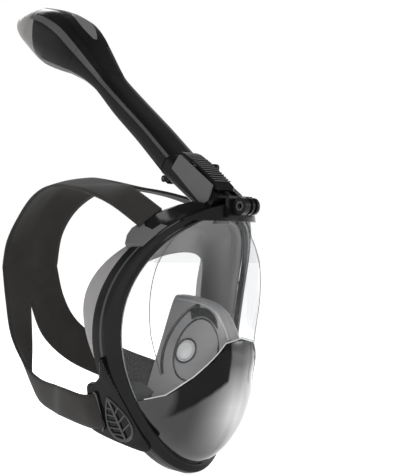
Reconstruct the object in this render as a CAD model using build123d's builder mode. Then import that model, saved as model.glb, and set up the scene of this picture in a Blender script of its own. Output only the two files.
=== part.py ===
"""Full face snorkel: mask, head strap, folding snorkel tube and dry-top head.

Millimetres. +Z is up, the mask faces -Y and the wearer's left is +X. The origin is the
centre of the face seal, in the plane of its rearmost edge.
"""
import os
from math import asin, cos, pi, radians, sin

from build123d import *

os.makedirs("parts", exist_ok=True)

# ---------------------------------------------------------------- driving dimensions
CLEAR = 0.3                 # gap between pieces that must not touch

# Lens outline, seen from the front: an egg, wider above its middle
EGG_W, EGG_H, EGG_Z, EGG_SKEW = 77.0, 111.0, 1.0, 0.18
EGG_STEPS = 28

# Rim surface, the front of the frame: y = RIM_Y + RIM_BOW x^2 + RIM_RAKE z + RIM_CURL z^2
RIM_Y, RIM_BOW, RIM_RAKE, RIM_CURL = -86.0, 0.0058, -0.164, -0.0004
RIM_LEVELS = (-130, -85, -40, 0, 40, 85, 130)
RIM_REACH = 110.0           # half width of the bowed slabs that cut the rings

# Lens crease, where its side wall turns into its front panel
CREASE_W, CREASE_H, CREASE_Z, CREASE_SKEW = 66.5, 111.5, -0.5, 0.45
CREASE_Y, CREASE_BOW, CREASE_RAKE, CREASE_CURL = -89.0, 0.0019, -0.146, 0.0006
CREASE_END = -20.0          # below this height the lens is a plain dome
CREASE_LEAST = 10.0         # least depth of the lens side wall
DOME_SHOULDER = (0.86, 0.45)  # where that dome turns: share of its width and of its depth

# Height and foremost y of the lens and chin cover on the centre line, top to bottom
NOSE_LINE = (
    (106.0, -112.0), (88.0, -114.0), (62.0, -117.0), (34.0, -120.5), (10.0, -126.0), (-12.0, -132.0),
    (-34.0, -129.0), (-58.0, -122.0), (-78.0, -112.5), (-94.0, -98.0), (-103.0, -86.0),
)
LENS_T = 2.4                # lens and chin cover wall
LENS_TUCK = 7.4             # depth of the lens edge inside the front ring
SPLIT_TOP, SPLIT_SLOPE, SPLIT_FLAT = 4.0, 0.90, 8.0   # arched joint between lens and chin cover
SPLIT_REACH, SPLIT_FLOOR = 100.0, -140.0
LENS_TOP = 105.0

# Frame
FRAME_FRONT_T, FRAME_REAR_END = 7.5, 18.0   # depths behind the rim surface
FRAME_GROW = 8.0            # frame width outside the egg
FRAME_LIP = -2.0            # the rear ring reaches inside the egg and carries the lens
SCREW_HEAD_R, SCREW_HEAD_T = 2.8, 1.2
SCREW_R, SCREW_ANGLES = 1.6, (25, 62, 118, 155, 205, 242, 298, 335)

# Face skirt
SKIRT_INSIDE, SKIRT_OUTSIDE, SKIRT_BACK = -7.5, 2.5, 30.0
SEAL_W, SEAL_H, SEAL_SKEW, SEAL_LIP = 71.0, 104.0, 0.30, 6.0
SEAL_Y, SEAL_BOW, SEAL_Z = -42.0, 0.0081, 30.0
SEAL_FALL_UP, SEAL_FALL_DOWN = -0.0035, 0.0004

# Snorkel: a straight reference line in the X = 0 plane, leaning back from vertical
TUBE_Y, TUBE_Z, TUBE_LEAN = -50.0, 158.0, 53.5
# station along the line, offset to the front, half width, half depth, corner radius
TUBE_STATIONS = (
    (0, 0, 21, 10.7, 7), (45, 4.5, 20, 10.3, 7), (85, 7.2, 19, 10.2, 7), (118, 10.8, 18, 9.2, 7),
    (142, 14, 20.5, 12.5, 9), (165, 15, 24, 18.6, 12),
)
HEAD_STATIONS = (
    (165, 15, 24, 18.6, 12), (184, 14.5, 27, 25, 16), (204, 12.4, 28, 28.6, 18), (224, 10, 28, 27, 18),
    (243, 6.8, 26.5, 23, 17),
)
CAP_STATIONS = (
    (243, 6.8, 26.5, 23, 17), (256, 3.4, 23.5, 19, 15), (268, -0.4, 17.5, 13, 11), (277, -3.4, 9, 6.5, 5),
)
TUBE_T, HEAD_T = 2.2, 2.2
DIVIDER_T, DIVIDER_GAP = 1.4, 1.2
INTAKE_SLOTS, INTAKE_FROM, INTAKE_PITCH, INTAKE_W = 6, 190.0, 8.5, 3.6

# Float valve in the head: stations along the snorkel and offset to the front
FLOAT_S, FLOAT_LEN, FLOAT_R, FLOAT_H = 186.0, 30.0, 15.0, 12.0
FLOAT_TRAVEL, GUIDE_R, FLOAT_CLEAR = 8.0, 2.5, 0.1
FLOAT_SEAT_S = FLOAT_S + FLOAT_LEN + FLOAT_TRAVEL + CLEAR

# Socket under the tube, with the air bore, the seal's groove and the hinge behind it
SOCKET_W, SOCKET_D, SOCKET_R = 2 * TUBE_STATIONS[0][2], 2 * TUBE_STATIONS[0][3], TUBE_STATIONS[0][4]
SOCKET_DEPTH = 70.0         # how far the socket runs down before the frame cuts it
SOCKET_TOP = -0.6
BORE_W, BORE_D, BORE_R = 30.0, 12.0, 4.0
SEAT_W, SEAT_D, SEAT_R, SEAT_DEPTH = 36.0, 16.4, 6.0, 3.5
HINGE_S, HINGE_H, HINGE_PIN_R = -3.0, -14.2, 1.5
KNUCKLE_R, KNUCKLE_HALF, KNUCKLE_OUTER, HINGE_CLEAR = 3.1, 7.5, 15.0, 0.05

LATCH_LOW, LATCH_HIGH, LATCH_IN, LATCH_OUT, LATCH_HALF = -62.0, -2.5, 13.6, 17.4, 12.5
LATCH_PIVOT_S, LATCH_PIVOT_H, LATCH_PIN_R = -26.0, 14.6, 1.2
LATCH_BOSS_R, LATCH_EAR_R, LATCH_EAR_T = 2.7, 3.4, 3.9
SPRING_S, SPRING_R, SPRING_WIRE, SPRING_TURNS = -54.0, 3.2, 0.45, 4
SPRING_POCKET = 8.7         # depth of the spring's pocket floor in the socket

# Forehead bridge over the top of the lens
BRIDGE_FRONT_Y, BRIDGE_BOW, BRIDGE_REACH = -119.5, 0.0088, 60.0
FILL_BELOW_Z = LENS_TOP + CLEAR
PORT_Y = -100.0             # air port from the socket into the mask

# Action camera mount: three fingers on a 5 mm bolt
FINGER_R, FINGER_T, FINGER_GAP, FINGER_BORE = 7.5, 2.9, 3.2, 2.5
FINGER_Y, FINGER_Z = -131.0, 117.5
MOUNT_BACK_Y, MOUNT_Z_HALF, BOSS_T, NUT_FLATS = -119.5, 9.0, 3.4, 8.0

# Cheek wings: outer surface point and outward direction, on the wearer's left
WING_POINT = (73.9, -34.0, -55.0)
WING_OUT = (0.895, -0.264, -0.358)
WING_T = 8.0
# Outline of the left wing in its own plane (back, up); the right one is its mirror image
WING_OUTLINE = (
    (-28, 14), (-12, 24), (2, 27), (19, 19), (19, -9), (13, -14), (2, -23), (-19, -30), (-30, -22),
)
VENT_CENTRE = (-4.0, -9.0)
VENT_LEAF = ((-7, 10.5), (5, -1), (5.5, -12), (-5, -27), (-17, -24), (-21.5, -14), (-17.5, -1))
VENT_RECESS = 2.6
# Slots of the vent: length, width, tilt; the first of each row and the step to the next
VENT_SLOTS = ((5, (-2.0, 2.0), (0, -4.6), 7.5, -30), (2, (-11.5, -5.0), (-1.5, -11.0), 8.5, 68))
VENT_SLOT_W = 1.8
STRAP_SLOT = (8.5, 3.0, 5.0, 30.0)   # centre back and up from the wing point, width, height

# Valves: disc radii, disc and seat thicknesses, and how far a disc lifts
INHALE_R, EXHALE_R, CHIN_R = 11.5, 9.0, 16.0
DISC_T, STEM_R, STEM_HEAD = 1.0, 1.2, 1.8
EXHALE_SEAT_T, INHALE_SEAT_T, CHIN_SEAT_T = 2.0, 3.0, 2.2
SEAT_RIM = 1.5
INHALE_SINK = 1.0           # the seat stands this far out of the pocket's wall
CHIN_VALVE_Y = -80.0
CAGE_WALL, CAGE_DEPTH, CAGE_FLOOR, CAGE_SLOTS = 1.4, 5.0, 1.6, 8

# Orinasal pocket: a tent open at the back; y, ridge height, half width and height of its foot
POCKET_BACK = (-50.0, 37.0, 46.0, -52.0)
POCKET_FRONT = (-106.0, 17.0, 31.0, -52.0)
POCKET_RIDGE, POCKET_T = 7.0, 2.2

# Head strap and the lugs that clamp its upper arms
ANCHOR_T, ANCHOR_LEN, ANCHOR_W, ANCHOR_R = 4.0, 30.0, 34.0, 5.0
ANCHOR_ANGLE, ANCHOR_TILT, ANCHOR_DEPTH, ANCHOR_LIFT = 58.0, 47.0, 16.0, 1.0
STRAP_T, ARM_W, BAND_W, BAND_L, BAND_R = 3.0, 30.0, 66.0, 52.0, 8.0
# Middle line of the left upper and lower arms, from the frame to the back of the head, and the
# point of the head that each arm's outer face looks away from
UPPER_ARM = (
    (58, -64, 113), (63, -30, 126), (60, 15, 141), (51, 60, 145),
    (40, 100, 138), (28, 140, 119), (12, 171.5, 88),
)
LOWER_ARM = (
    (83.2, -16, -54), (84, 8, -55), (81, 38, -52), (73, 80, -41),
    (58, 118, -22), (41, 150, -1), (14, 171.5, 36),
)
UPPER_CENTRE, LOWER_CENTRE = Vector(0, 45, 40), Vector(0, 45, -20)
BAND_Y, BAND_Z = 170.0, 64.0


# ---------------------------------------------------------------- shared geometry
def egg(t, grow=0.0):
    """Point (x, z) of the lens outline at angle t, moved outwards by grow."""
    x = (EGG_W + grow) * cos(t) * (1 + EGG_SKEW * sin(t))
    return x, EGG_Z + (EGG_H + grow) * sin(t)


def egg_loop(width, height, centre, skew):
    """Points of a closed egg outline."""
    angles = [2 * pi * i / EGG_STEPS for i in range(EGG_STEPS)]
    return [(width * cos(t) * (1 + skew * sin(t)), centre + height * sin(t)) for t in angles]


def half_width(z, width, height, centre, skew):
    """Half width of an egg outline at height z."""
    s = max(-0.999, min(0.999, (z - centre) / height))
    return width * cos(asin(s)) * (1 + skew * s)


def rim_y(x, z):
    return RIM_Y + RIM_BOW * x * x + RIM_RAKE * z + RIM_CURL * z * z


def seal_y(x, z):
    fall = SEAL_FALL_UP if z > SEAL_Z else SEAL_FALL_DOWN
    return SEAL_Y + SEAL_BOW * x * x + fall * (z - SEAL_Z) ** 2


def bowed_slab(front, rear, front_bow=RIM_BOW, rear_bow=RIM_BOW, half=RIM_REACH):
    """Solid between two surfaces y = f(z) + bow x^2, for cutting the rings."""
    with BuildPart() as slab:
        for z in RIM_LEVELS:
            near, far = front(z), rear(z)
            near_end = near + front_bow * half ** 2
            far_end = far + rear_bow * half ** 2
            with BuildSketch(Plane.XY.offset(z)):
                with BuildLine():
                    Bezier((-half, near_end), (0, 2 * near - near_end), (half, near_end))
                    Line((half, near_end), (half, far_end))
                    Bezier((half, far_end), (0, 2 * far - far_end), (-half, far_end))
                    Line((-half, far_end), (-half, near_end))
                make_face()
        loft()
    return slab.part


def egg_tube(outer, inner):
    """Egg-shaped tube along Y between two outlines, each (width, height, centre, skew)."""
    with BuildPart() as tube:
        with BuildSketch(Plane.XZ.offset(-20)):
            with BuildLine():
                Spline(*egg_loop(*outer), periodic=True)
            make_face()
        extrude(amount=170)
        with BuildSketch(Plane.XZ.offset(-20)):
            with BuildLine():
                Spline(*egg_loop(*inner), periodic=True)
            make_face()
        extrude(amount=170, mode=Mode.SUBTRACT)
    return tube.part


def lens_egg(grow):
    return EGG_W + grow, EGG_H + grow, EGG_Z, EGG_SKEW


def rim_ring(outer_grow, inner_grow, depth_from, depth_to):
    """Ring that follows the lens outline, between two depths behind the rim surface."""
    ring = egg_tube(lens_egg(outer_grow), lens_egg(inner_grow))
    slab = bowed_slab(lambda z: rim_y(0, z) + depth_from, lambda z: rim_y(0, z) + depth_to)
    return ring & slab


def snorkel_plane(station, offset=0.0):
    """Plane across the snorkel: local X is -X, local Y points to the front of the tube."""
    lean = radians(TUBE_LEAN)
    along, across = (sin(lean), cos(lean)), (-cos(lean), sin(lean))
    y = TUBE_Y + station * along[0] + offset * across[0]
    z = TUBE_Z + station * along[1] + offset * across[1]
    return Plane(origin=(0, y, z), x_dir=(-1, 0, 0), z_dir=(0, along[0], along[1]))


def snorkel_side_plane(station, offset):
    """Plane in the snorkel's own side view: local X runs up the tube, Z is +X or -X."""
    across = snorkel_plane(station, offset)
    return Plane(origin=across.origin, x_dir=across.z_dir, z_dir=(-1, 0, 0))


def snorkel_loft(stations, inset=0.0, from_s=None, to_s=None):
    """Loft of rounded rectangles through the stations, moved inwards by inset."""
    with BuildPart() as shape:
        for index, (station, offset, width, depth, radius) in enumerate(stations):
            s = station
            if index == 0 and from_s is not None:
                s = from_s
            if index == len(stations) - 1 and to_s is not None:
                s = to_s
            with BuildSketch(snorkel_plane(s, offset)):
                RectangleRounded(2 * (width - inset), 2 * (depth - inset), max(radius - inset, 1.0))
        loft()
    return shape.part


def mirrored(point, side):
    return (side * point[0], point[1], point[2])


SIDES = {"left": 1, "right": -1}


def finish(builder, name):
    builder.part.label = name
    export_step(builder.part, f"parts/{name}.step")


# ---------------------------------------------------------------- lens and chin cover
def crease_point(z, rim_x, rim_edge, nose):
    """Corner of the lens section at height z, blending from the crease to a plain dome."""
    x = half_width(z, CREASE_W, CREASE_H, CREASE_Z, CREASE_SKEW)
    y = CREASE_Y + CREASE_BOW * x * x + CREASE_RAKE * z + CREASE_CURL * z * z
    dome_x = DOME_SHOULDER[0] * rim_x
    dome_y = rim_edge + DOME_SHOULDER[1] * (nose - rim_edge)
    blend = max(0.0, min(1.0, (CREASE_END + 25 - z) / 50))
    corner_y = min(y + blend * (dome_y - y), rim_edge + LENS_TUCK - CREASE_LEAST)
    return min(x + blend * (dome_x - x), rim_x - 1.0), corner_y


def lens_section(z, nose, inset):
    """Outer or inner half outline of the lens at height z: rim edge, crease and nose."""
    rim_x = half_width(z, *lens_egg(-CLEAR))
    edge = rim_y(rim_x, z) + LENS_TUCK
    crease_x, crease_y = crease_point(z, rim_x, rim_y(rim_x, z), nose)
    return (rim_x - inset, edge), (crease_x - 0.9 * inset, crease_y + 0.9 * inset), nose + inset


def lens_dome(inset):
    with BuildPart() as dome:
        for z, nose in NOSE_LINE:
            edge, crease, front = lens_section(z, nose, inset)
            with BuildSketch(Plane.XY.offset(z)):
                with BuildLine():
                    Polyline((-crease[0], crease[1]), (-edge[0], edge[1]), (edge[0], edge[1]), crease)
                    Bezier(crease, (0, 2 * front - crease[1]), (-crease[0], crease[1]))
                make_face()
        loft(ruled=False)
    return dome.part


dome_shell = lens_dome(0.0) - lens_dome(LENS_T)
split_drop = SPLIT_TOP - SPLIT_SLOPE * (SPLIT_REACH - SPLIT_FLAT)


def below_split(gap):
    """Prism along Y that fills everything under the arched joint."""
    with BuildPart() as prism:
        with BuildSketch(Plane.XZ):
            with BuildLine():
                Polyline(
                    (-SPLIT_REACH, SPLIT_FLOOR), (-SPLIT_REACH, split_drop - gap),
                    (-SPLIT_FLAT, SPLIT_TOP - gap), (SPLIT_FLAT, SPLIT_TOP - gap),
                    (SPLIT_REACH, split_drop - gap), (SPLIT_REACH, SPLIT_FLOOR),
                    close=True,
                )
            make_face()
        extrude(amount=200)
    return prism.part


# ---------------------------------------------------------------- frame rings
def screw_shafts(depth_from, depth_to, radius):
    """Shafts of the clamp screws, parallel to Y, between two depths behind the rim."""
    with BuildPart() as shafts:
        for angle in SCREW_ANGLES:
            x, z = egg(radians(angle), FRAME_GROW / 2)
            y = rim_y(x, z)
            with BuildSketch(Plane(origin=(x, y + depth_to, z), x_dir=(1, 0, 0), z_dir=(0, -1, 0))):
                Circle(radius)
            extrude(amount=depth_to - depth_from)
    return shafts.part


screw_holes = screw_shafts(3.0, 30.0, SCREW_R)
screw_heads = screw_shafts(FRAME_REAR_END, FRAME_REAR_END + SCREW_HEAD_T, SCREW_HEAD_R)

with BuildPart() as frame_front:
    add(rim_ring(FRAME_GROW, 0.0, 0.0, FRAME_FRONT_T))
    add(screw_holes, mode=Mode.SUBTRACT)
finish(frame_front, "frame_front")


def wing_plane(side, depth=0.0):
    """Outer face of a cheek wing: local X runs back, local Y up, Z outwards."""
    out = Vector(*mirrored(WING_OUT, side)).normalized()
    back = (Vector(0, 1, 0) - out * out.Y).normalized()
    return Plane(origin=Vector(*mirrored(WING_POINT, side)) + out * depth, x_dir=back, z_dir=out)


def on_side(points, side):
    """Wing outline points; the right wing's plane is mirrored, so its Y is turned over."""
    return [(u, side * v) for u, v in points]


def wing_blank(side):
    with BuildPart() as wing:
        with BuildSketch(wing_plane(side)):
            with BuildLine():
                Polyline(*on_side(WING_OUTLINE, side), close=True)
            make_face()
        extrude(amount=-WING_T)
        fillet(wing.edges().filter_by(lambda e: e.length < WING_T + 0.01 and e.length > WING_T - 0.01), 3.0)
    return wing.part


def vent_cylinder(side, radius, depth_from, depth_to):
    """Cylinder on the exhale valve's axis, between two depths below the wing face."""
    with BuildPart() as cylinder:
        with BuildSketch(wing_plane(side, depth_from)):
            with Locations(on_side([VENT_CENTRE], side)[0]):
                Circle(radius)
        extrude(amount=depth_to - depth_from)
    return cylinder.part


def leaf_prism(side, share, depth_from, depth_to):
    """Leaf-shaped prism; share scales the leaf about the valve's centre."""
    points = [
        (VENT_CENTRE[0] + share * (u - VENT_CENTRE[0]), VENT_CENTRE[1] + share * (v - VENT_CENTRE[1]))
        for u, v in VENT_LEAF
    ]
    with BuildPart() as leaf:
        with BuildSketch(wing_plane(side, depth_from)):
            with BuildLine():
                Spline(*on_side(points, side), periodic=True)
            make_face()
        extrude(amount=depth_to - depth_from)
    return leaf.part


channel = Pos(0, -98.5, 112) * Box(28, 7, 40)

with BuildPart() as frame_rear:
    add(rim_ring(FRAME_GROW, FRAME_LIP, FRAME_FRONT_T + 0.2, FRAME_REAR_END))
    for side in SIDES.values():
        add(wing_blank(side) - frame_front.part)
        add(leaf_prism(side, 1.0, -VENT_RECESS, 20), mode=Mode.SUBTRACT)
        add(vent_cylinder(side, EXHALE_R + SEAT_RIM, -30, 5), mode=Mode.SUBTRACT)
        with BuildSketch(wing_plane(side, 2)):
            with Locations((STRAP_SLOT[0], side * STRAP_SLOT[1])):
                Rectangle(STRAP_SLOT[2], STRAP_SLOT[3])
        extrude(amount=-WING_T - 4, mode=Mode.SUBTRACT)
    add(screw_holes, mode=Mode.SUBTRACT)
    add(screw_heads, mode=Mode.SUBTRACT)
    add(channel, mode=Mode.SUBTRACT)
finish(frame_rear, "frame_rear")

with BuildPart() as frame_screws:
    add(screw_shafts(3.2, FRAME_REAR_END, SCREW_R))
    add(screw_heads)
finish(frame_screws, "frame_screws")


# ---------------------------------------------------------------- lens and chin cover, seated in the frame
with BuildPart() as visor_lens:
    add(dome_shell)
    add(below_split(0.0), mode=Mode.SUBTRACT)
    with Locations((0, -80, LENS_TOP + 20)):
        Box(200, 200, 40, mode=Mode.SUBTRACT)
    add(frame_front.part, mode=Mode.SUBTRACT)
    add(frame_rear.part, mode=Mode.SUBTRACT)
finish(visor_lens, "visor_lens")

with BuildPart() as chin_cover:
    add(dome_shell)
    add(below_split(CLEAR), mode=Mode.INTERSECT)
    add(frame_front.part, mode=Mode.SUBTRACT)
    add(frame_rear.part, mode=Mode.SUBTRACT)
finish(chin_cover, "chin_cover")


# ---------------------------------------------------------------- exhale vents in the wings
def valve_seat(plane, rim_radius, thickness, opening, centre=(0, 0)):
    """Ring with a cross and a hub; the disc lies on the side that the plane faces."""
    with BuildPart() as seat:
        with BuildSketch(plane):
            with Locations(centre):
                Circle(rim_radius)
                Circle(opening, mode=Mode.SUBTRACT)
                Rectangle(2 * opening + 1, 1.6)
                Rectangle(1.6, 2 * opening + 1)
                Circle(3.0)
                Circle(STEM_R + HINGE_CLEAR, mode=Mode.SUBTRACT)
        extrude(amount=-thickness)
    return seat


def valve_disc(plane, radius, seat_thickness, centre=(0, 0)):
    """Mushroom valve: thin disc over the seat and a stem through its hub."""
    with BuildPart() as disc:
        with BuildSketch(plane.offset(CLEAR)):
            with Locations(centre):
                Circle(radius)
        extrude(amount=DISC_T)
        with BuildSketch(plane.offset(-seat_thickness - STEM_HEAD)):
            with Locations(centre):
                Circle(STEM_R)
        extrude(amount=seat_thickness + STEM_HEAD + CLEAR + DISC_T / 2)
    return disc


def vent_slots(side):
    """Middle, length and tilt of each slot of the vent on one side."""
    slots = []
    for count, first, step, length, tilt in VENT_SLOTS:
        for row in range(count):
            u, v = first[0] + row * step[0], first[1] + row * step[1]
            slots.append(((u, side * v), length, side * tilt))
    return slots


for side_name, side in SIDES.items():
    vent_centre = on_side([VENT_CENTRE], side)[0]
    seat_plane = wing_plane(side, -WING_T + EXHALE_SEAT_T)
    exhale_seat = valve_seat(seat_plane, EXHALE_R + SEAT_RIM, EXHALE_SEAT_T, EXHALE_R - 2, vent_centre)
    finish(exhale_seat, f"exhale_seat_{side_name}")
    finish(valve_disc(seat_plane, EXHALE_R, EXHALE_SEAT_T, vent_centre), f"exhale_disc_{side_name}")
    with BuildPart() as vent_grille:
        add(leaf_prism(side, 0.985, -VENT_RECESS, 0.6))
        with BuildSketch(wing_plane(side, 2)):
            for place, length, tilt in vent_slots(side):
                with Locations(Location((*place, 0), (0, 0, tilt))):
                    SlotOverall(length, VENT_SLOT_W)
        extrude(amount=-WING_T, mode=Mode.SUBTRACT)
        add(frame_front.part, mode=Mode.SUBTRACT)
    finish(vent_grille, f"vent_grille_{side_name}")


# ---------------------------------------------------------------- face skirt
def seal_egg(inset):
    return SEAL_W - inset, SEAL_H - inset, 0.0, SEAL_SKEW


skirt_gap = FRAME_FRONT_T + 0.6
with BuildPart() as face_skirt:
    add(rim_ring(FRAME_LIP - CLEAR, SKIRT_INSIDE, skirt_gap, FRAME_REAR_END + CLEAR))
    add(rim_ring(SKIRT_OUTSIDE, SKIRT_INSIDE, FRAME_REAR_END + CLEAR, SKIRT_BACK))
    lip = egg_tube(seal_egg(0.0), seal_egg(SEAL_LIP))
    add(lip & bowed_slab(
        lambda z: rim_y(0, z) + SKIRT_BACK - 1.0, lambda z: seal_y(0, z), rear_bow=SEAL_BOW,
    ))
    add(screw_shafts(FRAME_REAR_END - 2, FRAME_REAR_END + 2, 3.3), mode=Mode.SUBTRACT)
    for side in SIDES.values():
        add(wing_blank(side), mode=Mode.SUBTRACT)
        add(vent_cylinder(side, EXHALE_R + 2, -30, 5), mode=Mode.SUBTRACT)
    add(visor_lens.part, mode=Mode.SUBTRACT)
    add(chin_cover.part, mode=Mode.SUBTRACT)
finish(face_skirt, "face_skirt")


# ---------------------------------------------------------------- orinasal pocket and its valves
def tent(station, y, inset):
    """Section of the pocket at y: ridge on top, flat foot."""
    _, ridge_z, foot_x, foot_z = station
    with BuildSketch(Plane.XZ.offset(-y)) as section:
        with BuildLine():
            Polyline(
                (-foot_x + inset, foot_z + inset), (-POCKET_RIDGE + inset / 2, ridge_z - inset),
                (POCKET_RIDGE - inset / 2, ridge_z - inset), (foot_x - inset, foot_z + inset), close=True,
            )
        make_face()
    return section


def pocket_solid(inset, back_y, front_y):
    with BuildPart() as solid:
        add(tent(POCKET_BACK, back_y, inset).sketch)
        add(tent(POCKET_FRONT, front_y, inset).sketch)
        loft()
    return solid.part


def inhale_plane(side, offset_out=0.0):
    """Plane on the pocket's side wall that faces into the pocket, where the disc opens."""
    back, front = POCKET_BACK, POCKET_FRONT
    corners = [Vector(side * POCKET_RIDGE, p[0], p[1]) for p in (back, front)]
    corners += [Vector(side * p[2], p[0], p[3]) for p in (back, front)]
    centre = sum(corners, Vector()) * 0.25
    across = (corners[2] + corners[3]) - (corners[0] + corners[1])
    along = (corners[0] + corners[2]) - (corners[1] + corners[3])
    out = across.cross(along).normalized()
    if out.X * side < 0:
        out = out * -1
    return Plane(origin=centre + out * offset_out, x_dir=along.normalized(), z_dir=out * -1)


chin_plane = Plane(origin=(0, CHIN_VALVE_Y, POCKET_BACK[3]), x_dir=(1, 0, 0), z_dir=(0, 0, -1))

with BuildPart() as orinasal_pocket:
    add(pocket_solid(0.0, POCKET_BACK[0], POCKET_FRONT[0]))
    add(pocket_solid(POCKET_T, POCKET_BACK[0] + 1, POCKET_FRONT[0] + POCKET_T), mode=Mode.SUBTRACT)
    for side in SIDES.values():
        with BuildSketch(inhale_plane(side, 12)):
            Circle(INHALE_R + SEAT_RIM)
        extrude(amount=24, mode=Mode.SUBTRACT)
    with BuildSketch(chin_plane.offset(-8)):
        Circle(CHIN_R + SEAT_RIM)
    extrude(amount=16, mode=Mode.SUBTRACT)
finish(orinasal_pocket, "orinasal_pocket")

for side_name, side in SIDES.items():
    seat_plane = inhale_plane(side, INHALE_SINK - INHALE_SEAT_T)
    inhale_seat = valve_seat(seat_plane, INHALE_R + SEAT_RIM, INHALE_SEAT_T, INHALE_R - 2)
    finish(inhale_seat, f"inhale_seat_{side_name}")
    finish(valve_disc(seat_plane, INHALE_R, INHALE_SEAT_T), f"inhale_disc_{side_name}")

finish(valve_seat(chin_plane, CHIN_R + SEAT_RIM, CHIN_SEAT_T, CHIN_R - 2), "chin_valve_seat")
finish(valve_disc(chin_plane, CHIN_R, CHIN_SEAT_T), "chin_valve_disc")
with BuildPart() as chin_valve_cage:
    with BuildSketch(chin_plane.offset(CAGE_DEPTH)):
        Circle(CHIN_R + 3)
        with PolarLocations(CHIN_R - 5, CAGE_SLOTS):
            SlotOverall(8, 2.5, mode=Mode.SUBTRACT)
    extrude(amount=CAGE_FLOOR)
    with BuildSketch(chin_plane):
        Circle(CHIN_R + 3)
        Circle(CHIN_R + 3 - CAGE_WALL, mode=Mode.SUBTRACT)
    extrude(amount=CAGE_DEPTH)
    with BuildSketch(chin_plane.offset(1.5)):
        with PolarLocations(CHIN_R + 2, 4):
            Rectangle(6, 18)
    extrude(amount=CAGE_DEPTH - 1.5, mode=Mode.SUBTRACT)
finish(chin_valve_cage, "chin_valve_cage")


# ---------------------------------------------------------------- forehead bridge
def egg_solid(grow):
    with BuildPart() as solid:
        with BuildSketch(Plane.XZ.offset(-40)):
            with BuildLine():
                Spline(*egg_loop(*lens_egg(grow)), periodic=True)
            make_face()
        extrude(amount=200)
    return solid.part


with BuildPart() as forehead_bridge:
    add(egg_solid(FRAME_GROW) & bowed_slab(
        lambda z: BRIDGE_FRONT_Y, lambda z: rim_y(0, z) + FRAME_FRONT_T,
        front_bow=BRIDGE_BOW, half=BRIDGE_REACH,
    ))
    with Locations((0, -80, FILL_BELOW_Z - 200)):
        Box(400, 400, 400, mode=Mode.SUBTRACT)
    add(frame_front.part, mode=Mode.SUBTRACT)
    with Locations((0, PORT_Y, FILL_BELOW_Z)):
        Cylinder(4.5, 8, mode=Mode.SUBTRACT)
finish(forehead_bridge, "forehead_bridge")

with BuildPart() as air_port:
    with BuildSketch(Plane.XY.offset(FILL_BELOW_Z)):
        with Locations((0, PORT_Y)):
            SlotOverall(17, 10)
            Circle(3.6, mode=Mode.SUBTRACT)
    extrude(amount=-2.4)
    add(face_skirt.part, mode=Mode.SUBTRACT)
finish(air_port, "air_port")


# ---------------------------------------------------------------- snorkel socket and its seal
hinge_plane = snorkel_side_plane(HINGE_S, HINGE_H)
latch_plane = snorkel_side_plane(LATCH_PIVOT_S, LATCH_PIVOT_H)


def block(x_half, s_low, s_high, h_low, h_high):
    """Box in the snorkel's frame: half width, range along the tube and range in depth."""
    with BuildPart() as body:
        with BuildSketch(snorkel_plane(s_low)):
            with Locations((0, (h_low + h_high) / 2)):
                Rectangle(2 * x_half, h_high - h_low)
        extrude(amount=s_high - s_low)
    return body.part


def barrel(plane, radius, x_from, x_to):
    """Cylinder along X about a plane's origin."""
    with BuildPart() as body:
        with BuildSketch(Plane(origin=plane.origin + Vector(x_from, 0, 0), x_dir=(0, 1, 0), z_dir=(1, 0, 0))):
            Circle(radius)
        extrude(amount=x_to - x_from)
    return body.part


with BuildPart() as snorkel_socket:
    with BuildSketch(snorkel_plane(-SOCKET_DEPTH)):
        RectangleRounded(SOCKET_W, SOCKET_D, SOCKET_R)
    extrude(amount=SOCKET_DEPTH + SOCKET_TOP)
    for x_low in (-KNUCKLE_OUTER, KNUCKLE_HALF + CLEAR):
        x_high = x_low + KNUCKLE_OUTER - KNUCKLE_HALF - CLEAR
        add(barrel(hinge_plane, KNUCKLE_R, x_low, x_high))
        web = block((x_high - x_low) / 2, HINGE_S - 7, HINGE_S, HINGE_H - 1, -8)
        add(Pos((x_low + x_high) / 2, 0, 0) * web)
    for x_low in (-LATCH_HALF - 0.6 - LATCH_EAR_T, LATCH_HALF + 0.6):
        x_high = x_low + LATCH_EAR_T
        add(barrel(latch_plane, LATCH_EAR_R, x_low, x_high))
        ear_low, ear_high = LATCH_PIVOT_S - LATCH_EAR_R, LATCH_PIVOT_S + LATCH_EAR_R
        ear = block(LATCH_EAR_T / 2, ear_low, ear_high, 8, LATCH_PIVOT_H)
        add(Pos((x_low + x_high) / 2, 0, 0) * ear)
    add(barrel(hinge_plane, HINGE_PIN_R, -20, 20), mode=Mode.SUBTRACT)
    add(barrel(latch_plane, LATCH_PIN_R, -20, 20), mode=Mode.SUBTRACT)
    with BuildSketch(snorkel_plane(-SOCKET_DEPTH - 1)):
        RectangleRounded(BORE_W, BORE_D, BORE_R)
    extrude(amount=SOCKET_DEPTH + 5, mode=Mode.SUBTRACT)
    with BuildSketch(snorkel_plane(SOCKET_TOP - SEAT_DEPTH)):
        RectangleRounded(SEAT_W, SEAT_D, SEAT_R)
    extrude(amount=SEAT_DEPTH + 1, mode=Mode.SUBTRACT)
    add(block(LATCH_HALF + 1, -66, -40, 8.7, 12), mode=Mode.SUBTRACT)
    add(egg_solid(FRAME_GROW), mode=Mode.SUBTRACT)
finish(snorkel_socket, "snorkel_socket")

with BuildPart() as socket_seal:
    with BuildSketch(snorkel_plane(SOCKET_TOP - SEAT_DEPTH)):
        RectangleRounded(SEAT_W, SEAT_D, SEAT_R)
        RectangleRounded(BORE_W, BORE_D, BORE_R, mode=Mode.SUBTRACT)
    extrude(amount=SEAT_DEPTH + CLEAR)
finish(socket_seal, "socket_seal")

with BuildPart() as hinge_pin:
    add(barrel(hinge_plane, HINGE_PIN_R, -KNUCKLE_OUTER - 0.6, KNUCKLE_OUTER + 0.6))
finish(hinge_pin, "hinge_pin")

with BuildPart() as latch_pin:
    add(barrel(latch_plane, LATCH_PIN_R, -LATCH_HALF - 4.8, LATCH_HALF + 4.8))
finish(latch_pin, "latch_pin")

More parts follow.
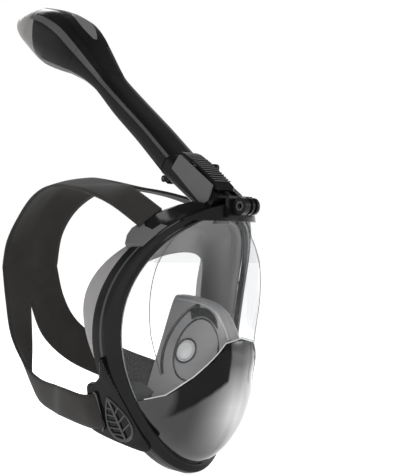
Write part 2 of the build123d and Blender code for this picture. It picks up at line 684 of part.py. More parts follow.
with BuildPart() as latch_lever:
    add(block(LATCH_HALF, LATCH_LOW, LATCH_HIGH, LATCH_IN, LATCH_OUT))
    fillet(latch_lever.edges().filter_by(Axis((0, 0, 0), snorkel_plane(0).y_dir)), 3.0)
    add(barrel(latch_plane, LATCH_BOSS_R, -LATCH_HALF, LATCH_HALF))
    add(barrel(latch_plane, LATCH_PIN_R + HINGE_CLEAR, -20, 20), mode=Mode.SUBTRACT)
    for row in range(9):
        s = LATCH_PIVOT_S + 5 + 2.0 * row
        add(block(LATCH_HALF - 4, s, s + 1.0, LATCH_OUT - 0.8, LATCH_OUT + 1), mode=Mode.SUBTRACT)
finish(latch_lever, "latch_lever")

spring_base = snorkel_side_plane(SPRING_S, SPRING_POCKET + 1.5 * SPRING_WIRE)
spring_height = LATCH_IN - SPRING_POCKET - 3.2 * SPRING_WIRE
with BuildPart() as latch_spring:
    with BuildLine():
        coil = Helix(
            spring_height / SPRING_TURNS, spring_height, SPRING_R,
            center=spring_base.origin, direction=snorkel_plane(0).y_dir,
        )
    with BuildSketch(Plane(origin=coil @ 0, z_dir=coil % 0)):
        Circle(SPRING_WIRE)
    sweep(is_frenet=True)
finish(latch_spring, "latch_spring")


# ---------------------------------------------------------------- action camera mount
finger_axis = Plane(origin=(0, FINGER_Y, FINGER_Z), x_dir=(0, 1, 0), z_dir=(1, 0, 0))
with BuildPart() as camera_mount:
    for place in (-1, 0, 1):
        x_mid = place * (FINGER_T + FINGER_GAP)
        add(barrel(finger_axis, FINGER_R, x_mid - FINGER_T / 2, x_mid + FINGER_T / 2))
        with Locations((x_mid, (FINGER_Y + MOUNT_BACK_Y) / 2, FINGER_Z)):
            Box(FINGER_T, MOUNT_BACK_Y - FINGER_Y, 1.7 * FINGER_R)
    with Locations((0, MOUNT_BACK_Y - 1.5, FINGER_Z)):
        Box(30, 4, 2 * MOUNT_Z_HALF)
    fingers_end = 1.5 * FINGER_T + FINGER_GAP
    add(barrel(finger_axis, FINGER_R, -fingers_end - BOSS_T, -fingers_end))
    add(barrel(finger_axis, FINGER_BORE, -30, 30), mode=Mode.SUBTRACT)
    nut_plane = Plane(origin=(-fingers_end, FINGER_Y, FINGER_Z), x_dir=(0, 1, 0), z_dir=(-1, 0, 0))
    with BuildSketch(nut_plane):
        RegularPolygon(NUT_FLATS / 2, 6, major_radius=False)
    extrude(amount=BOSS_T + 1, mode=Mode.SUBTRACT)
    add(forehead_bridge.part, mode=Mode.SUBTRACT)
finish(camera_mount, "camera_mount")

with BuildPart() as mount_nut:
    with BuildSketch(nut_plane):
        RegularPolygon(NUT_FLATS / 2 - 0.05, 6, major_radius=False)
        Circle(FINGER_BORE, mode=Mode.SUBTRACT)
    extrude(amount=BOSS_T - 0.4)
finish(mount_nut, "mount_nut")


# ---------------------------------------------------------------- snorkel tube and dry-top head
with BuildPart() as snorkel_tube:
    add(snorkel_loft(TUBE_STATIONS, to_s=TUBE_STATIONS[-1][0] - CLEAR))
    add(snorkel_loft(TUBE_STATIONS, inset=TUBE_T, from_s=-1, to_s=TUBE_STATIONS[-1][0] + 1),
        mode=Mode.SUBTRACT)
    add(barrel(hinge_plane, KNUCKLE_R, -KNUCKLE_HALF, KNUCKLE_HALF))
    add(block(KNUCKLE_HALF, 0.2, 8, HINGE_H - 1.5, -9.5))
    add(block(KNUCKLE_HALF, HINGE_S, 1, HINGE_H - KNUCKLE_R, HINGE_H))
    add(barrel(hinge_plane, HINGE_PIN_R + HINGE_CLEAR, -20, 20), mode=Mode.SUBTRACT)
finish(snorkel_tube, "snorkel_tube")

with BuildPart() as channel_divider:
    for station, forward, half, _, _ in TUBE_STATIONS:
        s = min(max(station, 2.0), TUBE_STATIONS[-1][0] - 2.0)
        with BuildSketch(snorkel_plane(s, forward)):
            Rectangle(2 * (half - TUBE_T - DIVIDER_GAP), DIVIDER_T)
    loft()
finish(channel_divider, "channel_divider")

with BuildPart() as head_shell:
    add(snorkel_loft(HEAD_STATIONS))
    head_low, head_high = HEAD_STATIONS[0][0] - 1, HEAD_STATIONS[-1][0] + 1
    add(snorkel_loft(HEAD_STATIONS, inset=HEAD_T, from_s=head_low, to_s=head_high), mode=Mode.SUBTRACT)
    for row in range(INTAKE_SLOTS):
        slot_s = INTAKE_FROM + INTAKE_PITCH * row
        add(block(17, slot_s, slot_s + INTAKE_W, -40, -6), mode=Mode.SUBTRACT)
finish(head_shell, "head_shell")

with BuildPart() as head_end_cap:
    add(snorkel_loft(CAP_STATIONS, from_s=CAP_STATIONS[0][0] + CLEAR))
    add(snorkel_loft(CAP_STATIONS, inset=HEAD_T, from_s=CAP_STATIONS[0][0] - 1, to_s=CAP_STATIONS[-1][0] - 3),
        mode=Mode.SUBTRACT)
finish(head_end_cap, "head_end_cap")

with BuildPart() as float_guide:
    with BuildSketch(snorkel_plane(FLOAT_S - 6, FLOAT_H)):
        RectangleRounded(49, 38, 12)
        SlotOverall(36, 20, mode=Mode.SUBTRACT)
        Rectangle(46, 3)
        Circle(5)
    extrude(amount=3)
    with BuildSketch(snorkel_plane(FLOAT_S - 5, FLOAT_H)):
        Circle(GUIDE_R)
    extrude(amount=FLOAT_SEAT_S - FLOAT_S + 10)
    add(snorkel_loft(HEAD_STATIONS, inset=HEAD_T), mode=Mode.INTERSECT)
finish(float_guide, "float_guide")

with BuildPart() as float_body:
    with BuildSketch(snorkel_plane(FLOAT_S, FLOAT_H)):
        Circle(FLOAT_R)
        Circle(GUIDE_R + FLOAT_CLEAR, mode=Mode.SUBTRACT)
    extrude(amount=FLOAT_LEN)
    fillet(float_body.faces().sort_by(Axis((0, 0, 0), snorkel_plane(0).z_dir))[-1].outer_wire().edges(), 3)
finish(float_body, "float")

with BuildPart() as float_seat:
    with BuildSketch(snorkel_plane(FLOAT_SEAT_S, FLOAT_H)):
        Circle(FLOAT_R + 2)
        Circle(FLOAT_R - 5, mode=Mode.SUBTRACT)
    extrude(amount=3)
    with BuildSketch(snorkel_plane(FLOAT_SEAT_S, FLOAT_H)):
        Rectangle(2 * FLOAT_R, 3)
        Circle(GUIDE_R + 2)
        Circle(GUIDE_R, mode=Mode.SUBTRACT)
    extrude(amount=3)
finish(float_seat, "float_seat")


# ---------------------------------------------------------------- head strap and its anchors
def strap_arm(points, centre, side):
    """Flat strap arm: each section lies across the route and faces away from the head."""
    route = [Vector(*mirrored(p, side)) for p in points]
    with BuildPart() as arm:
        for index, point in enumerate(route):
            tangent = (route[min(index + 1, len(route) - 1)] - route[max(index - 1, 0)]).normalized()
            radial = point - centre
            outward = (radial - tangent * radial.dot(tangent)).normalized()
            with BuildSketch(Plane(origin=point, x_dir=outward, z_dir=tangent)):
                Rectangle(STRAP_T, ARM_W)
        loft()
    return arm.part


with BuildPart() as head_strap:
    with BuildSketch(Plane(origin=(0, BAND_Y, BAND_Z), x_dir=(1, 0, 0), z_dir=(0, 1, 0))):
        RectangleRounded(BAND_L, BAND_W, BAND_R)
    extrude(amount=STRAP_T)
    for side in SIDES.values():
        add(strap_arm(UPPER_ARM, UPPER_CENTRE, side))
        add(strap_arm(LOWER_ARM, LOWER_CENTRE, side))
finish(head_strap, "head_strap")

for side_name, side in SIDES.items():
    with BuildPart() as anchor:
        x, z = egg(radians(ANCHOR_ANGLE), FRAME_GROW)
        out = Vector(side * cos(radians(ANCHOR_TILT)), 0, sin(radians(ANCHOR_TILT)))
        centre = Vector(side * x, rim_y(x, z) + ANCHOR_DEPTH, z)
        with BuildSketch(Plane(origin=centre + out * ANCHOR_LIFT, x_dir=(0, 1, 0), z_dir=out)):
            RectangleRounded(ANCHOR_LEN, ANCHOR_W, ANCHOR_R)
        extrude(amount=ANCHOR_T)
        add(egg_solid(FRAME_GROW), mode=Mode.SUBTRACT)
        add(head_strap.part, mode=Mode.SUBTRACT)
    finish(anchor, f"strap_anchor_{side_name}")
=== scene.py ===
import math
import bmesh
import bpy
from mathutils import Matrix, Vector


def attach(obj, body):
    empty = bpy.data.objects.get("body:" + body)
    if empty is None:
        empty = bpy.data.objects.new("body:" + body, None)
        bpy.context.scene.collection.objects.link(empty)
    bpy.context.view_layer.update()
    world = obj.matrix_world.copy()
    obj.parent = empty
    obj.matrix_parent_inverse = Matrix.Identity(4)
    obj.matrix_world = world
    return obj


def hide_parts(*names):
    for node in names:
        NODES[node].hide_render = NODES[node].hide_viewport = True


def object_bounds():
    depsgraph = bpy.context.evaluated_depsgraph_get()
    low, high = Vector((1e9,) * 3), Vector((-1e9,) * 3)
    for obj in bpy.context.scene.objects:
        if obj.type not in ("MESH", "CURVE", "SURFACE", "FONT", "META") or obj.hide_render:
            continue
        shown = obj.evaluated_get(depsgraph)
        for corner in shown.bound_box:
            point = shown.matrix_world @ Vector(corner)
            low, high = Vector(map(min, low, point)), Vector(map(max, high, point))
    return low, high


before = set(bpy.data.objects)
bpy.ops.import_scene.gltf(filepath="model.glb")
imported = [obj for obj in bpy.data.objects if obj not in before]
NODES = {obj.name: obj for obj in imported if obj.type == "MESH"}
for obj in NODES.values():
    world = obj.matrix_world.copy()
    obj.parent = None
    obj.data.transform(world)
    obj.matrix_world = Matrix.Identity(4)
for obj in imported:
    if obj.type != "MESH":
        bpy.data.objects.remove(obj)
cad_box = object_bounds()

MM = 0.001
SIDES = {"left": 1, "right": -1}


# ---------------------------------------------------------------- camera, light and floor
def make_camera():
    """Seen from the wearer's right front, level with the middle of the visor."""
    target, distance = Vector((0, -0.078, 0.091)), 1.0
    azimuth, elevation = math.radians(-47), math.radians(-1)
    level = math.cos(elevation)
    back = Vector((math.sin(azimuth) * level, -math.cos(azimuth) * level, math.sin(elevation)))
    camera = bpy.data.objects.new("camera", bpy.data.cameras.new("camera"))
    bpy.context.collection.objects.link(camera)
    camera.data.lens = 85
    camera.data.sensor_fit = "VERTICAL"
    camera.data.sensor_height = 36
    camera.location = target + back * distance
    camera.rotation_euler = (-back).to_track_quat("-Z", "Y").to_euler()
    bpy.context.scene.camera = camera


def make_lights():
    bpy.context.scene.view_settings.view_transform = "Standard"
    world = bpy.data.worlds.new("studio")
    world.use_nodes = True
    tree = world.node_tree
    height = tree.nodes.new("ShaderNodeSeparateXYZ")
    tree.links.new(tree.nodes.new("ShaderNodeTexCoord").outputs["Generated"], height.inputs[0])
    sky = tree.nodes.new("ShaderNodeValToRGB")
    tree.links.new(height.outputs["Z"], sky.inputs["Fac"])
    sky.color_ramp.elements[0].position, sky.color_ramp.elements[1].position = 0.30, 0.62
    sky.color_ramp.elements[0].color = (1, 1, 1, 1)
    sky.color_ramp.elements[1].color = (0.16, 0.16, 0.165, 1)
    tree.links.new(sky.outputs["Color"], tree.nodes["Background"].inputs["Color"])
    bpy.context.scene.world = world
    for name, place, size, power in (
        ("key", (-1.1, -0.6, 1.3), 0.7, 16), ("fill", (0.9, -1.4, 0.6), 0.9, 7),
        ("rim", (0.4, 1.3, 1.2), 0.8, 12),
    ):
        light = bpy.data.objects.new(name, bpy.data.lights.new(name, "AREA"))
        bpy.context.collection.objects.link(light)
        light.data.size = size
        light.data.energy = power
        light.location = place
        light.rotation_euler = (Vector((0, -0.03, 0.06)) - Vector(place)).to_track_quat("-Z", "Y").to_euler()


def make_floor():
    mesh = bpy.data.meshes.new("floor")
    reach, level = 30.0, cad_box[0][2] - 0.002
    corners = ((-1, -1), (1, -1), (1, 1), (-1, 1))
    mesh.from_pydata([(x * reach, y * reach, level) for x, y in corners], [], [(0, 1, 2, 3)])
    floor = bpy.data.objects.new("floor", mesh)
    bpy.context.collection.objects.link(floor)
    material, _, shader = new_material("floor_paper", (0.9, 0.9, 0.9), 0.8)
    shader.inputs["Emission Color"].default_value = (1, 1, 1, 1)
    shader.inputs["Emission Strength"].default_value = 0.85
    shader.inputs["Specular IOR Level"].default_value = 0.0
    mesh.materials.append(material)


# ---------------------------------------------------------------- materials
def new_material(name, color, roughness, **sockets):
    material = bpy.data.materials.new(name)
    material.use_nodes = True
    tree = material.node_tree
    shader = tree.nodes["Principled BSDF"]
    shader.inputs["Base Color"].default_value = (*color, 1)
    shader.inputs["Roughness"].default_value = roughness
    for key, value in sockets.items():
        shader.inputs[key.replace("_", " ")].default_value = value
    return material, tree, shader


def object_place(tree):
    return tree.nodes.new("ShaderNodeTexCoord").outputs["Object"]


def grey(level):
    return (level,) * 3


def noise(tree, scale, detail=3.0, vector=None):
    node = tree.nodes.new("ShaderNodeTexNoise")
    node.inputs["Scale"].default_value = scale
    node.inputs["Detail"].default_value = detail
    if vector is None:
        vector = object_place(tree)
    tree.links.new(vector, node.inputs["Vector"])
    return node.outputs["Fac"]


def ramp(tree, source, low, high, start=0.3, end=0.7):
    node = tree.nodes.new("ShaderNodeMapRange")
    tree.links.new(source, node.inputs["Value"])
    node.inputs["From Min"].default_value = start
    node.inputs["From Max"].default_value = end
    node.inputs["To Min"].default_value = low
    node.inputs["To Max"].default_value = high
    return node.outputs["Result"]


def color_mix(tree, factor, first, second):
    """Blend of two colours, either of which may be a socket."""
    node = tree.nodes.new("ShaderNodeMix")
    node.data_type = "RGBA"
    tree.links.new(factor, node.inputs[0])
    for socket, color in zip(node.inputs[6:8], (first, second)):
        if isinstance(color, tuple):
            socket.default_value = (*color, 1)
        else:
            tree.links.new(color, socket)
    return node.outputs[2]


def maths(tree, operation, first, second):
    """Math node on two inputs, each a number or a socket."""
    node = tree.nodes.new("ShaderNodeMath")
    node.operation = operation
    for socket, value in zip(node.inputs, (first, second)):
        if isinstance(value, float):
            socket.default_value = value
        else:
            tree.links.new(value, socket)
    return node.outputs[0]


def bump(tree, shader, height, strength, distance):
    node = tree.nodes.new("ShaderNodeBump")
    node.inputs["Strength"].default_value = strength
    node.inputs["Distance"].default_value = distance
    tree.links.new(height, node.inputs["Height"])
    tree.links.new(node.outputs["Normal"], shader.inputs["Normal"])
    return node


def moulded(name, dark, light, rough, grain=900, depth=0.00004, **sockets):
    """Moulded plastic: fine grain, slow colour drift and uneven gloss."""
    material, tree, shader = new_material(name, dark, rough[0], **sockets)
    drift = noise(tree, 22, 4)
    tree.links.new(color_mix(tree, ramp(tree, drift, 0, 1), dark, light), shader.inputs["Base Color"])
    tree.links.new(ramp(tree, noise(tree, 60, 5), rough[0], rough[1]), shader.inputs["Roughness"])
    bump(tree, shader, noise(tree, grain, 2), 0.25, depth)
    return material


def make_materials():
    gloss = ((0.004, 0.004, 0.0043), (0.007, 0.007, 0.0075), (0.14, 0.22))
    return {
        "black": moulded("black_gloss_plastic", *gloss, Specular_IOR_Level=0.13),
        "head": moulded("head_gloss_plastic", *gloss, Specular_IOR_Level=0.13),
        # Lighter grey for the tube's bevel facets: a painted reflection
        "painted_bevel_reflection": moulded("bevel_facet_painted_reflection", (0.045, 0.045, 0.046), (0.055, 0.055, 0.056), (0.30, 0.38),
                          Specular_IOR_Level=0.3),
        # Lighter grey for the frame's inner bead: a painted highlight line
        "edge": moulded("frame_edge_painted_highlight", grey(0.13), grey(0.19), (0.12, 0.2)),
        "cap": moulded("end_cap_plastic", (0.13, 0.127, 0.124), (0.16, 0.157, 0.153), (0.26, 0.34),
                       Specular_IOR_Level=0.3),
        # Lighter grey for the patch on the head's front: a painted window reflection
        "painted_window_reflection": moulded("head_painted_window_reflection", grey(0.10), grey(0.13), (0.3, 0.4)),
        # Lighter grey for flat faces of the black socket and strap lug: a painted reflection
        "face": moulded("flat_facet_painted_reflection", grey(0.048), grey(0.054), (0.42, 0.5)),
        # Near-black for dark seams, and for the painted shade patch on the pocket
        "seam_and_painted_shade": moulded("dark_seam_and_painted_shade", grey(0.008), grey(0.018), (0.2, 0.3)),
        "satin": moulded("black_satin_plastic", grey(0.012), grey(0.018), (0.36, 0.48), 1500, 0.00008),
        "grey": moulded("grey_satin_plastic", (0.10, 0.10, 0.104), (0.13, 0.13, 0.134), (0.30, 0.40), 1400),
        "vent": moulded("vent_plastic", grey(0.018), grey(0.026), (0.26, 0.34), 1400),
        "ribbed": moulded("lever_plastic", grey(0.03), grey(0.04), (0.28, 0.36), 1500),
        "silicone": moulded(
            "grey_silicone", (0.16, 0.155, 0.155), (0.19, 0.185, 0.185), (0.45, 0.55), 1200, 0.00005,
            Subsurface_Weight=0.15, Subsurface_Scale=0.004),
        "inner": moulded(
            "pocket_silicone", (0.20, 0.195, 0.195), (0.25, 0.245, 0.245), (0.26, 0.38), 1000, 0.00005,
            Subsurface_Weight=0.2, Subsurface_Scale=0.004),
        # Bright grey for ridge and joint beads and valve rings: painted highlights
        "shine": moulded("silicone_edge_painted_highlight", grey(0.36), grey(0.46), (0.08, 0.16)),
        # Pale grey for the inhale valve flap: a painted reflection
        "flap": moulded("valve_flap_painted_reflection", grey(0.45), grey(0.62), (0.05, 0.12), Coat_Weight=0.6),
        "rubber": moulded("black_silicone", grey(0.02), grey(0.03), (0.4, 0.5), 1300),
        "foam": moulded("float_foam", (0.6, 0.25, 0.05), (0.66, 0.3, 0.07), (0.7, 0.8), 700, 0.0002),
        "steel": moulded("bright_steel", (0.55, 0.55, 0.56), (0.62, 0.62, 0.63), (0.22, 0.34), 1800, 0.00002,
                         Metallic=1.0),
        "strap": make_strap_cloth(),
        "lens": make_clear("clear_lens", (0.30, 0.31, 0.315), 0.03, 0.12),
        # Chin cover colour holds painted reflections and a painted highlight
        "smoke_painted_reflection": make_smoke_and_painted_reflection(),
    }


def make_strap_cloth():
    """Knitted elastic strap: fine ribs and a faint fuzz."""
    material, tree, shader = new_material(
        "knit_elastic", (0.015, 0.014, 0.013), 0.85, Sheen_Weight=0.05, Specular_IOR_Level=0.2)
    wave = tree.nodes.new("ShaderNodeTexWave")
    wave.bands_direction = "Z"
    wave.inputs["Scale"].default_value = 260
    wave.inputs["Distortion"].default_value = 1.2
    wave.inputs["Detail"].default_value = 2
    tree.links.new(object_place(tree), wave.inputs["Vector"])
    fuzz = noise(tree, 900, 3)
    height = maths(tree, "ADD", wave.outputs["Fac"], fuzz)
    drift = ramp(tree, noise(tree, 40, 4), 0, 1)
    color = color_mix(tree, drift, (0.014, 0.013, 0.012), (0.021, 0.019, 0.018))
    tree.links.new(color, shader.inputs["Base Color"])
    bump(tree, shader, height, 0.3, 0.00012)
    return material


def make_clear(name, tint, least, blend):
    """Clear plastic: see-through face on, and a grey reflecting skin at a glancing angle."""
    material, tree, shader = new_material(name, tint, 0.04)
    shader.inputs["Specular IOR Level"].default_value = 0.5
    clear = tree.nodes.new("ShaderNodeBsdfTransparent")
    clear.inputs["Color"].default_value = (0.975, 0.978, 0.98, 1)
    weight = tree.nodes.new("ShaderNodeLayerWeight")
    weight.inputs["Blend"].default_value = blend
    scuff = ramp(tree, noise(tree, 30, 5), least, least * 1.6)
    total = maths(tree, "MAXIMUM", ramp(tree, weight.outputs["Fresnel"], 0.0, 0.14, 0.08, 1.0), scuff)
    mix = tree.nodes.new("ShaderNodeMixShader")
    tree.links.new(total, mix.inputs["Fac"])
    tree.links.new(clear.outputs[0], mix.inputs[1])
    tree.links.new(shader.outputs[0], mix.inputs[2])
    tree.links.new(mix.outputs[0], tree.nodes["Material Output"].inputs["Surface"])
    return material


def make_smoke_and_painted_reflection():
    """Smoked chin cover with painted reflections: a painted black reflection bank along the top, a painted
    highlight column down the nose, and dark cheeks where that painted highlight fades.
    """
    material, tree, shader = new_material(
        "smoked_gloss_painted_reflection", grey(0.3), 0.1, Coat_Weight=0.08, Coat_Roughness=0.02, Metallic=0.95)
    where = tree.nodes.new("ShaderNodeSeparateXYZ")
    tree.links.new(object_place(tree), where.inputs[0])
    across = maths(tree, "ABSOLUTE", where.outputs["X"], 0.0)
    below = maths(tree, "SUBTRACT", where.outputs["Z"], maths(tree, "MULTIPLY", across, -0.80))
    waver = maths(tree, "SUBTRACT", noise(tree, 120, 4), 0.5)
    below = maths(tree, "ADD", below, maths(tree, "MULTIPLY", waver, 0.006))
    # Painted reflection: a black bank under the arched joint on either side of the nose, standing in for dark
    # sky mirrored in the chin
    painted_dark_reflection = maths(tree, "MULTIPLY", ramp(tree, below, 0.0, 1.0, -0.025, -0.021),
                 ramp(tree, across, 0.0, 1.0, 0.011, 0.013))
    painted_dark_reflection = maths(tree, "MULTIPLY", painted_dark_reflection, ramp(tree, across, 1.0, 0.0, 0.047, 0.052))
    # Painted highlight: a bright column down the middle of the nose, faded towards the top and the bottom
    painted_highlight_column = ramp(tree, across, 1.0, 0.0, 0.006, 0.038)
    painted_highlight_column = maths(tree, "POWER", painted_highlight_column, 1.8)
    painted_highlight_column = maths(tree, "MULTIPLY", painted_highlight_column, ramp(tree, where.outputs["Z"], 0.12, 1.0, -0.098, -0.066))
    painted_highlight_column = maths(tree, "MULTIPLY", painted_highlight_column, ramp(tree, where.outputs["Z"], 1.0, 0.12, -0.055, -0.018))
    painted_highlight_tone = color_mix(tree, painted_highlight_column, (0.045, 0.045, 0.046), (0.40, 0.40, 0.405))
    tree.links.new(color_mix(tree, painted_dark_reflection, painted_highlight_tone, grey(0.006)), shader.inputs["Base Color"])
    tree.links.new(ramp(tree, noise(tree, 40, 4), 0.08, 0.16), shader.inputs["Roughness"])
    bump(tree, shader, noise(tree, 800, 2), 0.1, 0.00003)
    return material


make_camera()
make_lights()
make_floor()
MATERIALS = make_materials()


# ---------------------------------------------------------------- mesh helpers (sizes in mm)
def add_piece(name, points, faces, material, body, replaces=(), smooth_angle=40, subdivide=0, slot=None):
    mesh = bpy.data.meshes.new(name)
    mesh.from_pydata([(x * MM, y * MM, z * MM) for x, y, z in points], [], faces)
    mesh.validate()
    work = bmesh.new()
    work.from_mesh(mesh)
    bmesh.ops.remove_doubles(work, verts=work.verts, dist=1e-6)
    bmesh.ops.recalc_face_normals(work, faces=work.faces)
    work.to_mesh(mesh)
    work.free()
    mesh.materials.append(MATERIALS[material])
    mesh.polygons.foreach_set("use_smooth", [True] * len(mesh.polygons))
    mesh.set_sharp_from_angle(angle=math.radians(smooth_angle))
    piece = bpy.data.objects.new(name, mesh)
    bpy.context.collection.objects.link(piece)
    if subdivide:
        levels = piece.modifiers.new("subdivide", "SUBSURF")
        levels.levels = levels.render_levels = subdivide
    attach(piece, body)
    if replaces:
        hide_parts(*replaces)
    return piece


def tube_faces(rows, columns, close_rows=False, close_columns=True, caps=False):
    """Quads between rows of points; each row holds the same number of columns."""
    faces = []
    for i in range(rows if close_rows else rows - 1):
        for j in range(columns if close_columns else columns - 1):
            a, b = i * columns + j, i * columns + (j + 1) % columns
            c, d = ((i + 1) % rows) * columns + (j + 1) % columns, ((i + 1) % rows) * columns + j
            faces.append((a, b, c, d))
    if caps:
        faces.append(tuple(range(columns))[::-1])
        faces.append(tuple((rows - 1) * columns + j for j in range(columns)))
    return faces


def add_rows(name, rows, material, body="mask", replaces=(), loop=False, **options):
    """Piece skinned over rows of points; a loop joins its ends, and without one they are capped."""
    faces = tube_faces(len(rows), len(rows[0]), loop, True, not loop)
    return add_piece(name, [p for row in rows for p in row], faces, material, body, replaces, **options)


def thicken(piece, thickness, offset):
    """Gives a sheet a wall, in mm: offset 0 centres it on the sheet and -1 puts it inside."""
    wall = piece.modifiers.new("wall", "SOLIDIFY")
    wall.thickness = thickness * MM
    wall.offset = offset


def smooth_path(points, steps):
    """Catmull-Rom curve through points, each a tuple of any length."""
    out = []
    last = len(points) - 1
    for i in range(last):
        p0, p1, p2, p3 = points[max(i - 1, 0)], points[i], points[i + 1], points[min(i + 2, last)]
        for k in range(steps):
            t = k / steps
            out.append(tuple(
                0.5 * (2 * b + (c - a) * t + (2 * a - 5 * b + 4 * c - d) * t * t
                       + (3 * b - a - 3 * c + d) * t ** 3)
                for a, b, c, d in zip(p0, p1, p2, p3)))
    out.append(tuple(points[-1]))
    return out


def lookup(table, z):
    """Smooth value of a table of (z, value), top to bottom."""
    rows = sorted(table)
    if z <= rows[0][0]:
        return rows[0][1]
    for i in range(len(rows) - 1):
        (za, a), (zb, b) = rows[i], rows[i + 1]
        if z <= zb:
            before = (rows[i - 1] if i else rows[i])
            after = (rows[i + 2] if i + 2 < len(rows) else rows[i + 1])
            slope_a = (b - before[1]) / (zb - before[0])
            slope_b = (after[1] - a) / (after[0] - za)
            t, span = (z - za) / (zb - za), zb - za
            return ((2 * t ** 3 - 3 * t ** 2 + 1) * a + (t ** 3 - 2 * t ** 2 + t) * span * slope_a
                    + (3 * t ** 2 - 2 * t ** 3) * b + (t ** 3 - t ** 2) * span * slope_b)
    return rows[-1][1]


# ---------------------------------------------------------------- the mask's shared curves
EGG_W, EGG_H, EGG_Z, EGG_SKEW = 77.0, 111.0, 1.0, 0.18
CREASE_W, CREASE_H, CREASE_Z, CREASE_SKEW = 66.5, 111.5, -0.5, 0.45
AROUND = 144
# Depth of the visor and chin along the middle, as (height, y)
NOSE = (
    (112, -111.0), (106, -112.0), (88, -114.0), (62, -117.0), (34, -120.5), (10, -123.5), (-12, -126.0),
    (-34, -123.0), (-58, -117.0), (-78, -108.0), (-94, -95.5), (-103, -85.0), (-110, -73.0),
)


def rim_y(x, z):
    return -86.0 + 0.0058 * x * x - 0.164 * z - 0.0004 * z * z


def egg(t, grow=0.0):
    return (EGG_W + grow) * math.cos(t) * (1 + EGG_SKEW * math.sin(t)), EGG_Z + (EGG_H + grow) * math.sin(t)


def egg_normal(t):
    """Outward direction (x, z) of the lens outline at angle t."""
    (xa, za), (xb, zb) = egg(t - 0.01), egg(t + 0.01)
    length = math.hypot(xb - xa, zb - za)
    return (zb - za) / length, -(xb - xa) / length


def around_rim(t, grow, depth):
    """Point beside the lens outline: grow mm outwards, depth mm behind the rim surface."""
    x, z = egg(t)
    out_x, out_z = egg_normal(t)
    x, z = x + out_x * grow, z + out_z * grow
    return x, rim_y(x, z) + depth, z


def angles(count=AROUND):
    return [2 * math.pi * i / count for i in range(count)]


def rim_sweep(name, profile, material, body="mask", replaces=(), **options):
    """Ring around the lens outline; profile holds the (grow, depth) pairs of a closed section."""
    rows = [[around_rim(t, grow, depth) for grow, depth in profile] for t in angles()]
    return add_rows(name, rows, material, body, replaces, loop=True, **options)


# ---------------------------------------------------------------- visor and chin cover
def half_width(z, width, height, centre, skew):
    s = max(-0.9999, min(0.9999, (z - centre) / height))
    return width * math.cos(math.asin(s)) * (1 + skew * s)


def corner(z):
    """Corner of the lens section at height z: a crease high up, the shoulder of a dome low down."""
    rim_x = max(half_width(z, EGG_W, EGG_H, EGG_Z, EGG_SKEW), 2.0)
    rim = rim_y(rim_x, z)
    x = half_width(z, CREASE_W, CREASE_H, CREASE_Z, CREASE_SKEW)
    y = -89.0 + 0.0019 * x * x - 0.146 * z + 0.0006 * z * z
    blend = max(0.0, min(1.0, (8 - z) / 55))
    dome_x, dome_y = 0.86 * rim_x, rim + 0.50 * (lookup(NOSE, z) - rim)
    return min(x + blend * (dome_x - x), 0.985 * rim_x), min(y + blend * (dome_y - y), rim - 2.6), rim_x, rim


def lens_y(x, z, round_off):
    """Depth of the visor and chin surface at (x, z)."""
    corner_x, corner_y, rim_x, rim = corner(z)
    nose = min(lookup(NOSE, z), rim - 0.5)
    x = min(abs(x), rim_x)
    low = max(0.0, min(1.0, (-25 - z) / 45))
    if x < corner_x:
        power = 2.0 - 0.5 * max(0.0, min(1.0, (5 - z) / 35))
        flat = nose + (corner_y - nose) * (x / corner_x) ** power
    else:
        flat = corner_y + (rim - corner_y) * (x - corner_x) / (rim_x - corner_x)
    dome = rim + (nose - rim) * max(0.0, 1 - (x / rim_x) ** 2.6) ** 0.62
    return flat + (dome - flat) * round_off * 0.25 * low


def crease_share(t):
    """Share of the way from the centre to the rim where the crease lies at angle t."""
    low, high = 0.5, 0.999
    for _ in range(30):
        middle = 0.5 * (low + high)
        x, z = egg(t)
        x, z = x * middle, EGG_Z + (z - EGG_Z) * middle
        if abs(x) < corner(z)[0]:
            low = middle
        else:
            high = middle
    return low


def dome_grid(drop):
    """Polar grid of the visor and chin surface, drop mm under its outside."""
    rows = []
    for t in angles():
        share = crease_share(t) if t < math.pi * 1.12 or t > math.pi * 1.88 else 0.86
        rings = [1.0, 0.5 + 0.5 * share, share + 0.008, share, share - 0.008]
        rings += [share * f for f in (0.95, 0.88, 0.79, 0.68, 0.55, 0.40, 0.24, 0.09)]
        x, z = egg(t, -0.6)
        row = [(x, rim_y(x, z) + 5.0, z)]
        for f in rings:
            x, z = egg(t, -0.6)
            x, z = x * f, EGG_Z + (z - EGG_Z) * f
            row.append((x, lens_y(x, z, 1.0) + drop, z))
        rows.append(row)
    return rows


JOINT = ((0.0, 4.0), (18.0, 0.0), (39.0, -28.0), (58.0, -45.0), (68.0, -56.0), (90.0, -60.0))


def joint_height(x):
    x = abs(x)
    for (xa, za), (xb, zb) in zip(JOINT, JOINT[1:]):
        if x <= xb:
            return za + (zb - za) * (x - xa) / (xb - xa)
    return JOINT[-1][1]


